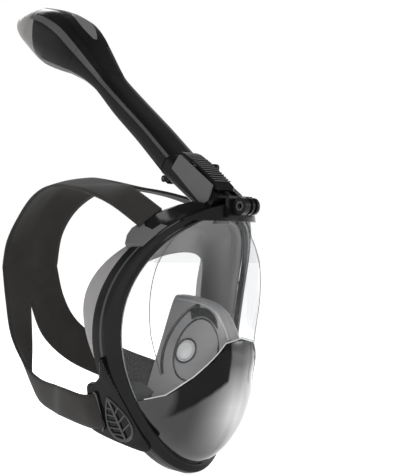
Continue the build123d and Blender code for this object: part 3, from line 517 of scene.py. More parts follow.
def cut_dome(name, keep_upper, material, node, thickness, gap):
    """The part of the dome above or below the arched joint, as a closed shell."""
    rows = dome_grid(0.0)
    columns = len(rows[0])
    points = [p for row in rows for p in row]
    faces = tube_faces(len(rows), columns, True, False)
    centre = len(points)
    points.append((0.0, lens_y(0.0, EGG_Z, 1.0), EGG_Z))
    faces += [(i * columns + columns - 1, ((i + 1) % len(rows)) * columns + columns - 1, centre)
              for i in range(len(rows))]
    mesh = bpy.data.meshes.new(name)
    mesh.from_pydata([tuple(c * MM for c in p) for p in points], [], faces)
    work = bmesh.new()
    work.from_mesh(mesh)
    for x, _ in JOINT[1:-1]:
        for side in (1, -1):
            everything = list(work.verts) + list(work.edges) + list(work.faces)
            bmesh.ops.bisect_plane(work, geom=everything, plane_co=(side * x * MM, 0, 0), plane_no=(1, 0, 0))
    for side in (1, -1):
        for (xa, za), (xb, zb) in zip(JOINT, JOINT[1:]):
            strip = [f for f in work.faces if xa * MM < side * f.calc_center_median().x < xb * MM]
            geometry = set(strip)
            for face in strip:
                geometry.update(face.edges)
                geometry.update(face.verts)
            bmesh.ops.bisect_plane(
                work, geom=list(geometry), plane_co=(side * xa * MM, 0, (za + gap) * MM),
                plane_no=(-side * (zb - za), 0, xb - xa))
    wrong = []
    for face in work.faces:
        middle = face.calc_center_median() / MM
        above = middle.z > joint_height(middle.x) + gap
        if above != keep_upper:
            wrong.append(face)
    bmesh.ops.delete(work, geom=wrong, context="FACES")
    bmesh.ops.recalc_face_normals(work, faces=work.faces)
    front = [f for f in work.faces if abs(f.calc_center_median().x) < 0.02]
    if front and sum(f.normal.y for f in front) > 0:
        bmesh.ops.reverse_faces(work, faces=work.faces)
    work.to_mesh(mesh)
    work.free()
    mesh.materials.append(MATERIALS[material])
    mesh.polygons.foreach_set("use_smooth", [True] * len(mesh.polygons))
    mesh.set_sharp_from_angle(angle=math.radians(50))
    piece = bpy.data.objects.new(name, mesh)
    bpy.context.collection.objects.link(piece)
    thicken(piece, thickness, -1)
    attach(piece, "mask")
    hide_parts(node)
    return piece


# ---------------------------------------------------------------- frame front, skirt and pocket
def make_frame_front():
    profile = ((-1.4, 7.3), (-1.6, 1.0), (-1.2, -0.6), (-0.4, -1.3), (0.5, -1.3), (1.2, -0.8), (1.6, 0.1),
               (2.2, 0.35),
               (5.8, 0.0), (6.8, 0.35), (7.6, 1.2), (8.0, 2.4), (8.0, 6.8), (7.7, 7.3))
    rim_sweep("frame_front_ring", profile, "black", replaces=("frame_front",), smooth_angle=34)
    rear = ((-1.8, 7.9), (8.0, 7.9), (8.3, 9.0), (8.3, 16.5), (7.2, 18.0), (-1.2, 18.0), (-1.8, 17.0))
    rim_sweep("frame_rear_ring", rear, "black", replaces=("frame_rear",), smooth_angle=34)
    inner = ((-2.1, 1.2), (-2.2, -0.2), (-1.9, -0.7), (-1.4, -0.7), (-1.3, 1.2))
    # The inner bead is coloured lighter, a painted highlight line along the frame's inner edge
    rim_sweep("frame_inner_bead", inner, "edge", smooth_angle=60)
    outer = ((7.2, 5.0), (8.5, 5.2), (8.7, 5.6), (8.7, 6.4), (8.4, 6.9), (7.2, 7.0))
    rim_sweep("frame_outer_bead", outer, "satin", smooth_angle=40)


def seal_point(t, inset, lift):
    """Point of the face seal: inset mm inwards of its outer edge, lift mm forward of its rear edge."""
    x = (71.0 - inset) * math.cos(t) * (1 + 0.30 * math.sin(t))
    z = (104.0 - inset) * math.sin(t)
    fall = -0.0035 if z > 30 else 0.0004
    return x, -42.0 + 0.0081 * x * x + fall * (z - 30) ** 2 - lift, z


def lip_inset(t):
    """Width of the seal's inward lip: widest on the forehead, narrow on the cheeks."""
    top = max(0.0, math.sin(t))
    return 13.0 + 13.0 * top ** 3


def make_skirt():
    rows = []
    for t in angles(96):
        outer = [around_rim(t, -1.0, 8.5), around_rim(t, -1.5, 15.0), around_rim(t, 1.5, 18.6),
                 around_rim(t, 3.4, 22.0)]
        a = Vector(outer[-1])
        b = Vector(seal_point(t, -1.5, 9.0))
        wall = [tuple(a.lerp(b, f)) for f in (0.35, 0.7, 1.0)]
        lip = lip_inset(t)
        seal = [seal_point(t, 0.2, 3.0), seal_point(t, 2.5, 0.6), seal_point(t, 6.0, 0.4),
                seal_point(t, 0.6 * lip, 2.5),
                seal_point(t, lip, 6.0)]
        inside = [seal_point(t, lip + 0.3, 7.6), seal_point(t, 0.6 * lip, 4.6), seal_point(t, 5.0, 3.6),
                  seal_point(t, 3.0, 6.0)]
        c = Vector(seal_point(t, 1.2, 10.0))
        d = Vector(around_rim(t, -0.2, 22.0))
        back = [tuple(c.lerp(d, f)) for f in (0.0, 0.5, 1.0)]
        back += [around_rim(t, -4.0, 18.0), around_rim(t, -5.4, 12.0), around_rim(t, -5.4, 8.5)]
        rows.append(outer + wall + seal + inside + back)
    add_rows("face_skirt_silicone", rows, "silicone", "mask", ("face_skirt",), loop=True, smooth_angle=60,
             subdivide=1)


POCKET = (
    # y, ridge height, ridge half width, shoulder half width and height, foot half width and height
    (-50, 37, 7, 24, -2, 46, -52), (-60, 36.5, 7, 22.5, -2, 43.5, -52), (-78, 34, 7, 20.0, -2, 38.5, -52),
    (-94, 29.5, 7, 17.5, -3, 30, -52), (-104, 22.5, 7, 15.0, -5, 21, -50), (-111, 12, 6.5, 11.5, -8, 13, -46),
    (-115, 3, 5, 8, -12, 9, -40),
)


def make_pocket():
    rows = []
    for y, ridge_z, ridge_x, mid_x, mid_z, foot_x, foot_z in smooth_path(POCKET, 4):
        corners = ((0.0, ridge_z + 1.0), (ridge_x, ridge_z - 1.0), (mid_x, mid_z), (foot_x, foot_z))
        half = smooth_path(corners, 6)
        outline = [(-x, z) for x, z in half[::-1]] + half[1:]
        rows.append([(x, y, z) for x, z in outline])
    columns = len(rows[0])
    points = [p for row in rows for p in row]
    faces = tube_faces(len(rows), columns, False, False)
    last = (len(rows) - 1) * columns
    faces.append(tuple(last + j for j in range(columns)))
    piece = add_piece(
        "breathing_pocket", points, faces, "inner", "mask", ("orinasal_pocket",), smooth_angle=45)
    thicken(piece, 1.8, 0)


def rod(name, path, radius, material, body="mask", closed=False, sides=8, slot="black_plastic", flat=1.0):
    """Round bead along a path of points, in mm; flat squashes its height."""
    rows = []
    count = len(path)
    for index, point in enumerate(path):
        before = path[index - 1] if closed or index else path[0]
        after = path[(index + 1) % count] if closed or index + 1 < count else path[-1]
        tangent = (Vector(after) - Vector(before)).normalized()
        side = tangent.cross(Vector((0.13, -0.94, 0.31))).normalized()
        up = side.cross(tangent)
        rows.append([tuple(Vector(point) + side * (radius * math.cos(a)) + up * (radius * flat * math.sin(a)))
                     for a in angles(sides)])
    return add_rows(name, rows, material, body, loop=closed, smooth_angle=60, slot=slot)


def make_crease_bead():
    """Fine moulded edge where the visor's side wall turns into its front."""
    path = []
    for t in angles(240):
        x, z = egg(t, -0.6)
        share = crease_share(t)
        x, z = x * share, EGG_Z + (z - EGG_Z) * share
        if z > -26 and z < 103:
            path.append((x, lens_y(x, z, 1.0) - 0.1, z))
    for name, side in SIDES.items():
        half = sorted((p for p in path if p[0] * side > 0), key=lambda p: p[2])
        rod(f"visor_crease_{name}", half, 0.32, "seam_and_painted_shade", slot="clear_lens")


def make_seal_apron(name, side):
    """Dark lower flange of the skirt, from the frame's inner edge to the foot of the pocket."""
    rows = []
    for k in range(9):
        share = k / 8
        rim = Vector(around_rim(math.radians(-18 - 6.0 * k), -1.5, 11.0))
        foot = Vector((46 - 20 * share, -50 - 36 * share, -36 - 20 * min(1.0, 1.6 * share)))
        section = (rim, rim.lerp(foot, 0.5) + Vector((0, 3, 0)), foot, foot + Vector((0, 2, -2)),
                   rim + Vector((0, 3, -2)))
        rows.append([(side * p.x, p.y, p.z) for p in section])
    add_rows(f"seal_apron_{name}", rows, "rubber", slot="grey_silicone", smooth_angle=60)


def make_joint_bead():
    """Moulded edge along the arched joint between the visor and the chin cover, coloured bright as a painted
    highlight.
    """
    for name, side in SIDES.items():
        path = []
        for k in range(61):
            x = 0.5 + 74.0 * k / 60
            z = joint_height(x) + 0.6
            if x < corner(z)[2] - 1.5:
                path.append((side * x, lens_y(x, z, 1.0) - 0.2, z))
        rod(f"visor_joint_{name}", path, 0.55, "shine", slot="clear_lens")


def pocket_wall(side, y, z, lift=0.0):
    """Point on the pocket's side wall at depth y and height z, lift mm outside it."""
    for a, b in zip(POCKET, POCKET[1:]):
        if b[0] <= y <= a[0]:
            share = (y - a[0]) / (b[0] - a[0])
            _, ridge_z, ridge_x, mid_x, mid_z, foot_x, foot_z = (p + (q - p) * share for p, q in zip(a, b))
            if z > mid_z:
                x = ridge_x + (mid_x - ridge_x) * (ridge_z - z) / (ridge_z - mid_z)
            else:
                x = mid_x + (foot_x - mid_x) * (mid_z - z) / (mid_z - foot_z)
            return side * (x + lift), y, z
    return side * 14.0, y, z


# Raised panel round each inhale valve, on the pocket's side wall: its middle and its half size, (y, z)
PANEL_MIDDLE, PANEL_HALF = (-88.5, -6.5), (20.5, 26.5)
VALVE_MIDDLE = (-79.5, -7.5)


def panel_point(degrees, grow=0.0):
    """(y, z) on the panel's outline, measured up from its rear, grow mm outside it."""
    a = math.radians(degrees)
    (y, z), (half_y, half_z) = PANEL_MIDDLE, PANEL_HALF
    return y + (half_y + grow) * math.cos(a), z + (half_z + grow) * math.sin(a)


def valve_ring(side, radius, lift, count):
    """Circle round the middle of an inhale valve, lift mm outside the pocket's side wall."""
    y, z = VALVE_MIDDLE
    return [pocket_wall(side, y + radius * math.cos(a), z + radius * math.sin(a), lift)
            for a in angles(count)]


def make_pocket_seams():
    """Ridge beads coloured as painted highlights, a painted shade patch, the raised panel round each inhale
    valve, and the valve's own rings and flap; the flap, its ring and the hub carry painted highlights and
    reflection.
    """
    for name, side in SIDES.items():
        ridge = [(side * 7.0, y, z - 0.4) for y, z, *_ in smooth_path(POCKET, 4)]
        # The ridge bead is coloured bright as a painted highlight along the pocket's ridge
        rod(f"pocket_ridge_{name}", ridge, 0.8, "shine", slot="grey_silicone")
        fold = [pocket_wall(side, *panel_point(degrees, 11.5), 0.6) for degrees in range(80, -36, -5)]
        rod(f"pocket_fold_{name}", fold, 2.8, "seam_and_painted_shade", slot="grey_silicone", flat=0.4)
        # Painted shade: a dark patch on the pocket wall above the raised panel
        corners = [panel_point(65 + 12.5 * k, 10.5 - 8.0 * (k / 6) ** 2) for k in range(7)]
        corners += [panel_point(65 + 12.5 * k, 2.5) for k in range(5, -1, -1)]
        rows = [[pocket_wall(side, y, z, lift) for y, z in corners] for lift in (3.0, 0.2)]
        add_rows(f"pocket_shade_{name}", rows, "seam_and_painted_shade", slot="grey_silicone")
        panel = [pocket_wall(side, *panel_point(360 * k / 48), 1.2) for k in range(48)]
        rod(f"pocket_panel_{name}", panel, 0.9, "seam_and_painted_shade", closed=True, slot="grey_silicone")
        # The flap and hub rings are coloured bright as painted highlights, and the flap pale as a painted
        # reflection
        rings = (("seat", 10.0, 0.9, "seam_and_painted_shade"), ("flap", 7.4, 1.0, "shine"), ("hub", 2.0, 1.2, "shine"))
        for part, radius, bead, key in rings:
            rod(f"inhale_{part}_ring_{name}", valve_ring(side, radius, 1.6, 36), bead, key, closed=True,
                slot="grey_plastic")
        points = [pocket_wall(side, *VALVE_MIDDLE, 3.2)]
        for radius, lift in ((3.0, 3.0), (7.0, 2.2), (9.5, 1.2)):
            points += valve_ring(side, radius, lift, 24)
        faces = [(0, 1 + k, 1 + (k + 1) % 24) for k in range(24)]
        faces += [tuple(1 + v for v in f) for f in tube_faces(3, 24)]
        add_piece(f"inhale_flap_{name}", points, faces, "flap", "mask", slot="grey_silicone", smooth_angle=70)


# Cheek wing plane, as in the frame: a point on its outer face and its outward direction
WING_POINT, WING_OUT = Vector((73.9, -34.0, -55.0)), Vector((0.895, -0.264, -0.358)).normalized()
WING_BACK = (Vector((0, 1, 0)) - WING_OUT * WING_OUT.y).normalized()
WING_UP = WING_OUT.cross(WING_BACK)
# The wing's parts are laid out in mm back and up from that point
PLATE_TOP, PLATE_FOOT = 45.0, -42.0
PLATE_FRONT, PLATE_LEAN = -18.5, 0.26
TAB_BACK, TAB_TOP, TAB_FOOT = 20.0, 18.5, -26.0
STRAP_SEAT, STRAP_MIDDLE, STRAP_HALF = 7.5, -3.0, 16.0
LEAF_MIDDLE, LEAF_LENGTH, LEAF_WIDTH, LEAF_TILT = (-6.5, -12.5), 45.0, 25.0, math.radians(8)
LEAF_PEAK = 0.77       # the largest value of sin(a) * sin(a / 2)


def on_wing(side, back, up, lift=0.0):
    """Point on a cheek wing: mm back and up from its reference point, lift mm out of its face."""
    place = WING_POINT + WING_BACK * back + WING_UP * up + WING_OUT * lift
    return side * place.x, place.y, place.z


def closed_curve(points, steps):
    """Smooth closed loop through 2-D points."""
    ring = [points[-1]] + list(points) + [points[0], points[1]]
    return smooth_path(ring, steps)[steps:-2 * steps]


def leaf_half(along):
    """Half width of the leaf, along mm up from its middle: pointed above and round below."""
    a = math.acos(max(-1.0, min(1.0, 2 * along / LEAF_LENGTH)))
    return LEAF_WIDTH / (2 * LEAF_PEAK) * math.sin(a) * math.sin(a / 2)


def on_leaf(along, across):
    """(back, up) of a point along and across the leaf from its middle."""
    c, s = math.cos(LEAF_TILT), math.sin(LEAF_TILT)
    return LEAF_MIDDLE[0] + along * s + across * c, LEAF_MIDDLE[1] + along * c - across * s


def plate_outline():
    """Wing plate: a neck curving down to the strap tab, a straight run to the toe and a leaning front."""
    top, toe = PLATE_FRONT + PLATE_LEAN * PLATE_TOP, PLATE_FRONT + PLATE_LEAN * PLATE_FOOT
    neck = [(top + (TAB_BACK - top) * (1 - math.cos(a)), PLATE_TOP - (PLATE_TOP - TAB_TOP) * math.sin(a))
            for a in (math.radians(d) for d in (80, 60, 35, 0))]
    front = [(top + (toe - top) * k / 6, PLATE_TOP + (PLATE_FOOT - PLATE_TOP) * k / 6) for k in range(1, 7)]
    return neck + front + [(toe + 9, PLATE_FOOT - 3), (TAB_BACK - 2, TAB_FOOT), (TAB_BACK + 4, TAB_FOOT + 12)]


def wing_rings(side, outline, centre, levels):
    """An outline drawn on a cheek wing, once for each (share of its size, lift)."""
    return [[on_wing(side, *(c + (p - c) * share for p, c in zip(point, centre)), lift) for point in outline]
            for share, lift in levels]


def make_vent(name, side):
    """Leaf-shaped vent cover: raised rim, sunk plate, a spine and slanted bars."""
    edge = [(LEAF_LENGTH / 2 * math.cos(a), math.copysign(1, math.sin(a))) for a in angles(54)]
    outline = [on_leaf(along, -way * leaf_half(along)) for along, way in edge]
    levels = ((1.0, -1.0), (1.0, 1.2), (0.97, 1.9), (0.90, 2.0), (0.86, 1.4), (0.85, -0.4))
    points = [p for ring in wing_rings(side, outline, LEAF_MIDDLE, levels) for p in ring]
    columns = len(outline)
    last = (len(levels) - 1) * columns
    faces = tube_faces(len(levels), columns)
    faces += [(last + j, last + (j + 1) % columns, len(points)) for j in range(columns)]
    points.append(on_wing(side, *LEAF_MIDDLE, -0.4))
    add_piece(f"vent_rim_{name}", points, faces, "vent", "mask", (f"vent_grille_{name}",), smooth_angle=40)
    spine = [on_wing(side, *on_leaf(LEAF_LENGTH * share, 0.0), 1.3) for share in (0.44, 0.15, -0.15, -0.46)]
    rod(f"vent_spine_{name}", smooth_path(spine, 6), 1.2, "vent", slot="grey_plastic")
    bars = (("back", 5, 11.5, 6.2, 2.5, 1.0, 1), ("front", 3, 8.5, 8.5, 3.5, 2.0, -1))
    for part, count, first, pitch, fall, rise, way in bars:
        for row in range(count):
            along = first - pitch * row
            reach = way * 0.86 * leaf_half(along + rise)
            ends = ((along - fall, 0.0), (along + rise, reach))
            bar = [on_wing(side, *on_leaf(*end), 1.0) for end in ends]
            rod(f"vent_bar_{part}_{name}_{row}", smooth_path(bar, 4), 0.9, "vent", slot="grey_plastic")


def make_wing_plate(name, side):
    """Smooth outer plate of the cheek wing, with a raised bar where the lower strap goes in."""
    outline = closed_curve(plate_outline(), 5)
    levels = ((0.97, -6.0), (0.99, -4.5), (1.0, -0.4), (0.985, 0.3), (0.96, 0.6))
    rings = wing_rings(side, outline, (-5.0, -10.0), levels)
    add_rows(f"wing_plate_{name}", rings, "black", smooth_angle=30, slot="black_plastic")
    high, low = STRAP_MIDDLE + STRAP_HALF, STRAP_MIDDLE - STRAP_HALF
    route = ((STRAP_SEAT + 1, high + 1.5), (STRAP_SEAT - 1, high - 1), (STRAP_SEAT, STRAP_MIDDLE),
             (STRAP_SEAT + 2, low - 1),
             (STRAP_SEAT + 4.5, low - 3.5))
    bar = smooth_path([on_wing(side, back, up, 2.2) for back, up in route], 6)
    rod(f"strap_bar_{name}", bar, 1.0, "vent", slot="black_plastic")


# Where the strap lug starts and ends, in degrees round the frame
LUG_FIRST, LUG_LAST = 44.5, 57.0


def make_anchor(name, side):
    """Flat-faced lug on the side of the frame that the upper strap is clamped under, coloured lighter grey as
    a painted reflection.
    """
    foot, crown, front, deep = 8.6, 9.5, 2.0, 19.0
    corners = [(degrees, foot, front) for degrees in (LUG_FIRST, (LUG_FIRST + LUG_LAST) / 2, LUG_LAST)]
    for k in range(5):
        degrees = LUG_LAST - (LUG_LAST - LUG_FIRST) * k / 4
        corners.append((degrees, foot + crown * math.sin(math.radians(38 + 30 * k)), deep))
    outer = []
    for degrees, grow, depth in corners:
        x, y, z = around_rim(math.radians(degrees), grow, depth)
        outer.append((side * x, y, z))
    middle = sum((Vector(p) for p in outer), Vector()) / len(outer)
    inward = Vector((-side * 0.60, 0.15, -0.78)).normalized()
    face = [tuple(middle + (Vector(p) - middle) * 0.97 - inward * 0.5) for p in outer]
    rows = [face, outer, [tuple(Vector(p) + inward * 7.0) for p in outer]]
    add_rows(f"anchor_lug_{name}", rows, "face", "mask", (f"strap_anchor_{name}",), smooth_angle=20)


def make_shoulder(name, side):
    """Raised shoulder of the frame from the strap lug up to the forehead bridge."""
    rows = []
    stations = (
        (52, 9.0, 14.0, 21.0), (56, 9.5, 17.0, 23.0), (60, 10.5, 18.0, 23.0), (65, 12.0, 16.5, 21.0),
        (70, 12.5, 16.0, 19.0), (76, 12.0, 14.5, 17.0), (82, 9.0, 10.0, 15.0),
    )
    for degrees, low, high, reach in stations:
        section = ((6.0, 1.0), (8.4, 1.4), (low, 6.0), (high, 14.0), (high - 0.6, reach), (6.0, reach))
        rows.append([around_rim(math.radians(degrees), grow, depth) for grow, depth in section])
    rows = [[(side * x, y, z) for x, y, z in row] for row in rows]
    add_rows(f"frame_shoulder_{name}", rows, "black", smooth_angle=36, slot="black_plastic")


CHEEK_DEPTH = {-1: 17.6, 1: 9.0}
SOCKET_MIDDLE = -33.0


def make_cheek(name, side):
    """Flat cheek plate on the side of the snorkel socket, coloured lighter grey as a painted reflection; the
    wearer's right one is the deeper.
    """
    front = CHEEK_DEPTH[side]
    top, foot, chamfer = -12.5, -65.0, 4.0
    corners = ((foot + chamfer, -2.5), (top - 0.5, 2.0), (top, 3.0), (top - 1, front - 1), (top - 2, front),
               (foot + chamfer, front), (foot, 4.0))
    rows = []
    for x, grow in ((20.0, 0.0), (21.8, 0.0), (22.3, -0.5)):
        eased = [(s_at + math.copysign(grow, s_at - SOCKET_MIDDLE), h + math.copysign(grow, h)) for s_at,
                 h in corners]
        rows.append([snorkel_point(side * x, s_at, h) for s_at, h in eased])
    add_rows(f"socket_cheek_{name}", rows, "face", smooth_angle=20, slot="black_plastic")


# ---------------------------------------------------------------- snorkel tube and head
LEAN = math.radians(53.5)
ALONG, ACROSS = (math.sin(LEAN), math.cos(LEAN)), (-math.cos(LEAN), math.sin(LEAN))


FOOT_Y, FOOT_Z = -50.0, 158.0


def snorkel_point(x, s, h):
    """Point of the snorkel: s mm along the tube from its foot, h mm to its front."""
    return x, FOOT_Y + s * ALONG[0] + h * ACROSS[0], FOOT_Z + s * ALONG[1] + h * ACROSS[1]


# station, offset to the front, half width, half depth, where the bevel ends on the side, and how square it is
TUBE = (
    (0.4, 0.0, 21, 10.7, 0.50, 0.0), (20, 2.0, 20.6, 10.5, 0.48, 0.0), (45, 4.5, 20, 10.3, 0.46, 0.0),
    (85, 7.2, 19, 10.2, 0.35, 0.0), (118, 10.8, 18, 9.4, 0.15, 0.0), (131, 12.6, 18.8, 10.6, 0.12, 0.05),
    (146, 14.2, 21, 13.4, 0.12, 0.12), (164.7, 15.0, 24, 18.6, 0.18, 0.25),
)
HEAD = (
    (165.0, 15.0, 24, 18.6, 0.18, 0.25), (176, 14.8, 26, 22.4, 0.24, 0.35),
    (190, 14.0, 27.4, 26.4, 0.35, 0.5),
    (204, 12.4, 28, 28.6, 0.45, 0.6), (224, 10.0, 28, 27.4, 0.62, 0.75), (242.7, 6.8, 26.5, 23.4, 0.66, 0.9),
)
CAP = (
    (243.3, 6.8, 26.3, 23.2, 0.66, 0.9), (250, 5.2, 25.2, 21.6, 0.66, 0.95),
    (259, 2.6, 22.4, 17.8, 0.66, 1.0),
    (267, -0.2, 18.0, 13.2, 0.66, 1.0), (273, -2.2, 12.4, 8.8, 0.66, 1.0), (277, -3.4, 6.0, 4.2, 0.66, 1.0),
)


def tube_section(half_x, half_h, bevel_end, roundness):
    """Right half of a section, front to back, as (x, h) in mm: crowned front, flat bevel, side and back."""
    sharp = [
        (0.0, 1.0), (0.36, 0.995), (0.70, 0.965), (0.74, 0.93), (0.87, 0.5 * (0.93 + bevel_end)),
        (0.985, bevel_end + 0.03), (1.0, bevel_end - 0.05), (1.0, -0.10), (0.995, -0.42), (0.93, -0.74),
        (0.74, -0.94), (0.40, -0.995), (0.0, -1.0),
    ]
    out = []
    for index, (x, h) in enumerate(sharp):
        turn = math.pi * index / (len(sharp) - 1)
        round_x = abs(math.sin(turn)) ** 0.86
        round_h = math.copysign(abs(math.cos(turn)) ** 0.86, math.cos(turn))
        out.append((half_x * (x + (round_x - x) * roundness), half_h * (h + (round_h - h) * roundness)))
    return out


def snorkel_rows(stations, inset=0.0, steps=6):
    rows = []
    for s, offset, half_x, half_h, bevel_end, roundness in smooth_path(stations, steps):
        half = tube_section(half_x - inset, half_h - inset, bevel_end, roundness)
        outline = half + [(-x, h) for x, h in half[-2:0:-1]]
        rows.append([snorkel_point(x, s, offset + h) for x, h in outline])
    return rows


# The cap's colour, and where it starts on the head: mm along the tube, and how far the line slants
CAP_TONE, CAP_START, CAP_SLANT = (0.145, 0.142, 0.138), 224.0, 0.62


def paint_head_end():
    """Colours the rear end of the dry-top head like its end cap, up to a slanted line."""
    tree = MATERIALS["head"].node_tree
    shader = tree.nodes["Principled BSDF"]
    where = tree.nodes.new("ShaderNodeVectorMath")
    where.operation = "DOT_PRODUCT"
    tree.links.new(object_place(tree), where.inputs[0])
    slant = [ALONG[k] - CAP_SLANT * ACROSS[k] for k in (0, 1)]
    where.inputs[1].default_value = (0.0, slant[0], slant[1])
    start = (FOOT_Y * slant[0] + FOOT_Z * slant[1] + CAP_START) * MM
    edge = ramp(tree, where.outputs["Value"], 0.0, 1.0, start, start + 0.4 * MM)
    plain = shader.inputs["Base Color"].links[0].from_socket
    tree.links.new(color_mix(tree, edge, plain, CAP_TONE), shader.inputs["Base Color"])


def add_painted_bevel_reflection(piece, columns, outer_faces):
    """Gives the bevel facets between the front and the sides a lighter grey, a painted reflection."""
    piece.data.materials.append(MATERIALS["painted_bevel_reflection"])
    for index in range(outer_faces):
        if index % columns in (4, columns - 5):
            piece.data.polygons[index].material_index = 1


def make_head_painted_reflection():
    """Lens-shaped grey patch on the front face of the dry-top head: a painted window reflection."""
    path = smooth_path(HEAD, 6)
    left, right = [], []
    for s_at, offset, _, half_h, *_ in path:
        share = (s_at - 168.0) / 48.0
        if 0.0 <= share <= 1.0:
            half = 0.4 + 8.5 * math.sin(math.pi * share) ** 0.8
            left.append(snorkel_point(-half, s_at, offset + half_h + 0.25))
            right.append(snorkel_point(half, s_at, offset + half_h + 0.25))
    sunk_right, sunk_left = [[(x, y + 0.4, z - 0.5) for x, y, z in row] for row in (right, left)]
    points = left + right + sunk_right + sunk_left
    add_piece("head_front_painted_reflection", points, tube_faces(4, len(left), True, False), "painted_window_reflection", "snorkel",
              slot="grey_plastic")


def snorkel_shell(name, stations, node, material, wall, close_end=False):
    outer = snorkel_rows(stations)
    inner = snorkel_rows(stations, wall)[::-1]
    columns = len(outer[0])
    if close_end:
        points = [p for row in outer for p in row]
        last = (len(outer) - 1) * columns
        faces = tube_faces(len(outer), columns) + [tuple(last + j for j in range(columns))]
        piece = add_piece(name, points, faces, material, "snorkel", (node,), smooth_angle=24)
        thicken(piece, wall, -1)
        return piece
    rows = outer + inner
    piece = add_rows(name, rows, material, "snorkel", (node,), loop=True, smooth_angle=24)
    add_painted_bevel_reflection(piece, columns, (len(outer) - 1) * columns)
    return piece


def make_lever():
    """Latch lever: a thin top plate on a ribbed body, riding its own hinge."""
    rows = []
    stations = (
        (-61, 11.8, 13.6, 9.5), (-58, 11.8, 15.2, 12.0), (-40, 11.8, 16.6, 12.4), (-24, 12.6, 17.2, 12.4),
        (-8, 12.8, 16.4, 12.2), (-3.5, 13.2, 15.2, 11.0),
    )
    for s_at, low, high, half in stations:
        section = ((-half, low), (half, low), (half, high - 1.2), (half - 1.2, high), (-half + 1.2, high),
                   (-half, high - 1.2))
        rows.append([snorkel_point(x, s_at, h) for x, h in section])
    add_rows("latch_body", rows, "black", "latch", ("latch_lever",), smooth_angle=30)
    for row in range(11):
        s_at = -52 + 3.4 * row
        rib = [snorkel_point(x, s_at, 16.9 + 0.3 * (s_at > -44)) for x in (-10.5, 0, 10.5)]
        rod(f"latch_rib_{row}", rib, 0.55, "ribbed", body="latch", slot="grey_plastic")


# ---------------------------------------------------------------- head strap
# The strap is one cross-shaped sheet. Each arm lies between two edges that run from the frame to
# the back of the head; the wearer's left side sits a little slacker than the right.
def strap_end(side, way):
    """First two points of a lower arm's edge, on the cheek wing; way is 1 for its upper edge."""
    return [on_wing(side, STRAP_SEAT + run, STRAP_MIDDLE + way * STRAP_HALF, 1.9) for run in (0.0, 14.5)]


# Where the two upper arms join, from the crown down to the back of the head
STRAP_SPINE = ((-2, 22, 142), (0, 70, 151), (0, 110, 146), (0, 142, 128), (0, 160, 100), (0, 166, 66))
STRAP_EDGES = {
    "right": {
        "upper_in": ((-50, -77, 115), (-43, -32, 136), (-28, 2, 140), *STRAP_SPINE),
        "upper_out": (
            (-68, -66, 101), (-66, -30, 120), (-61, 6, 132), (-57, 35, 138), (-50, 75, 141),
            (-45, 108, 131), (-40, 138, 109), (-37, 157, 88), (-35, 166, 65)),
        "lower_in": (
            *strap_end(-1, 1), (-79, 20, -43), (-68, 45, -43), (-57, 80, -41), (-48, 112, -31),
            (-42, 142, -4), (-37, 158, 32), (-35, 166, 65)),
        "lower_out": (
            *strap_end(-1, -1), (-72, 25, -70), (-62, 50, -69), (-52, 85, -62), (-38, 115, -45),
            (-16, 143, -16), (-4, 160, 12), (0, 166, 28)),
    },
    "left": {
        "upper_in": ((50, -77, 115), (38, -35, 127), (27, -2, 136), *STRAP_SPINE),
        "upper_out": (
            (68, -66, 101), (65, -35, 115), (60, -4, 126), (56, 30, 136), (49, 72, 143),
            (43, 104, 141), (36, 134, 124), (34, 156, 98), (35, 166, 65)),
        "lower_in": (
            *strap_end(1, 1), (82, 12, -40), (74, 50, -32), (63, 92, -20), (51, 128, -5),
            (43, 148, 12), (38, 160, 36), (35, 166, 65)),
        "lower_out": (
            *strap_end(1, -1), (78, 8, -69), (70, 38, -66), (58, 74, -58), (44, 105, -48),
            (24, 136, -31), (8, 156, -6), (0, 166, 28)),
    },
}
STRAP_T = 2.4
ACROSS_STRAP = 8


def strap_arm_rows(inner, outer):
    """Rows across one arm, from the frame to the back."""
    a, b = smooth_path(inner, 8), smooth_path(outer, 8)
    rows = []
    for p, q in zip(a, b):
        p, q = Vector(p), Vector(q)
        bulge = (p + q) / 2 - Vector((0, 45, 40))
        bulge = bulge.normalized() * 1.6
        rows.append([tuple(p.lerp(q, k / ACROSS_STRAP) + bulge * math.sin(math.pi * k / ACROSS_STRAP))
                     for k in range(ACROSS_STRAP + 1)])
    return rows


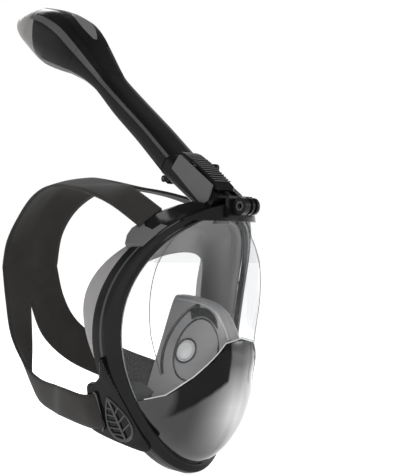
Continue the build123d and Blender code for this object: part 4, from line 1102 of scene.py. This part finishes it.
def make_strap():
    points, faces = [], []
    for edges in STRAP_EDGES.values():
        upper = strap_arm_rows(edges["upper_in"], edges["upper_out"])
        lower = strap_arm_rows(edges["lower_out"], edges["lower_in"])
        for rows in (upper, lower):
            base = len(points)
            points += [p for row in rows for p in row]
            faces += [tuple(base + v for v in f)
                      for f in tube_faces(len(rows), ACROSS_STRAP + 1, close_columns=False)]
        patch = []
        for k in range(ACROSS_STRAP + 1):
            a, b = Vector(upper[-1][k]), Vector(lower[-1][k])
            patch.append([tuple(a.lerp(b, f / 8)) for f in range(9)])
        base = len(points)
        points += [p for row in patch for p in row]
        faces += [tuple(base + v for v in f) for f in tube_faces(len(patch), 9, close_columns=False)]
    strap = add_piece("elastic_head_strap", points, faces, "strap", "mask", ("head_strap",), smooth_angle=60)
    thicken(strap, STRAP_T, 0)


# ---------------------------------------------------------------- materials of the CAD pieces that stay
CAD_MATERIALS = {
    "forehead_bridge": "black", "air_port": "grey", "snorkel_socket": "black",
    "socket_seal": "rubber", "camera_mount": "black", "channel_divider": "satin",
    "float_guide": "grey", "float_seat": "grey", "float": "foam", "chin_valve_seat": "grey",
    "chin_valve_cage": "grey", "chin_valve_disc": "rubber", "frame_screws": "satin", "hinge_pin": "satin",
    "latch_pin": "satin", "latch_spring": "steel", "mount_nut": "ribbed",
}
for side in SIDES:
    CAD_MATERIALS.update({
        f"vent_grille_{side}": "vent", f"strap_anchor_{side}": "black", f"exhale_seat_{side}": "satin",
        f"exhale_disc_{side}": "rubber", f"inhale_seat_{side}": "grey", f"inhale_disc_{side}": "rubber",
    })


def finish_cad_pieces():
    for name, material in CAD_MATERIALS.items():
        node = NODES[name]
        node.data.materials.clear()
        node.data.materials.append(MATERIALS[material])


cut_dome("visor", True, "lens", "visor_lens", 2.0, 0.0)
cut_dome("chin_cover_shell", False, "smoke_painted_reflection", "chin_cover", 2.0, -0.4)
make_frame_front()
make_skirt()
make_pocket()
snorkel_shell("snorkel_tube_shell", TUBE, "snorkel_tube", "black", 2.0)
paint_head_end()
snorkel_shell("dry_top_head", HEAD, "head_shell", "head", 2.0)
snorkel_shell("dry_top_cap", CAP, "head_end_cap", "cap", 2.0, close_end=True)
make_crease_bead()
make_joint_bead()
make_pocket_seams()
for side_name, side_sign in SIDES.items():
    make_vent(side_name, side_sign)
    make_wing_plate(side_name, side_sign)
    make_anchor(side_name, side_sign)
    make_shoulder(side_name, side_sign)
    make_cheek(side_name, side_sign)
    make_seal_apron(side_name, side_sign)
make_head_painted_reflection()
make_lever()
make_strap()
finish_cad_pieces()
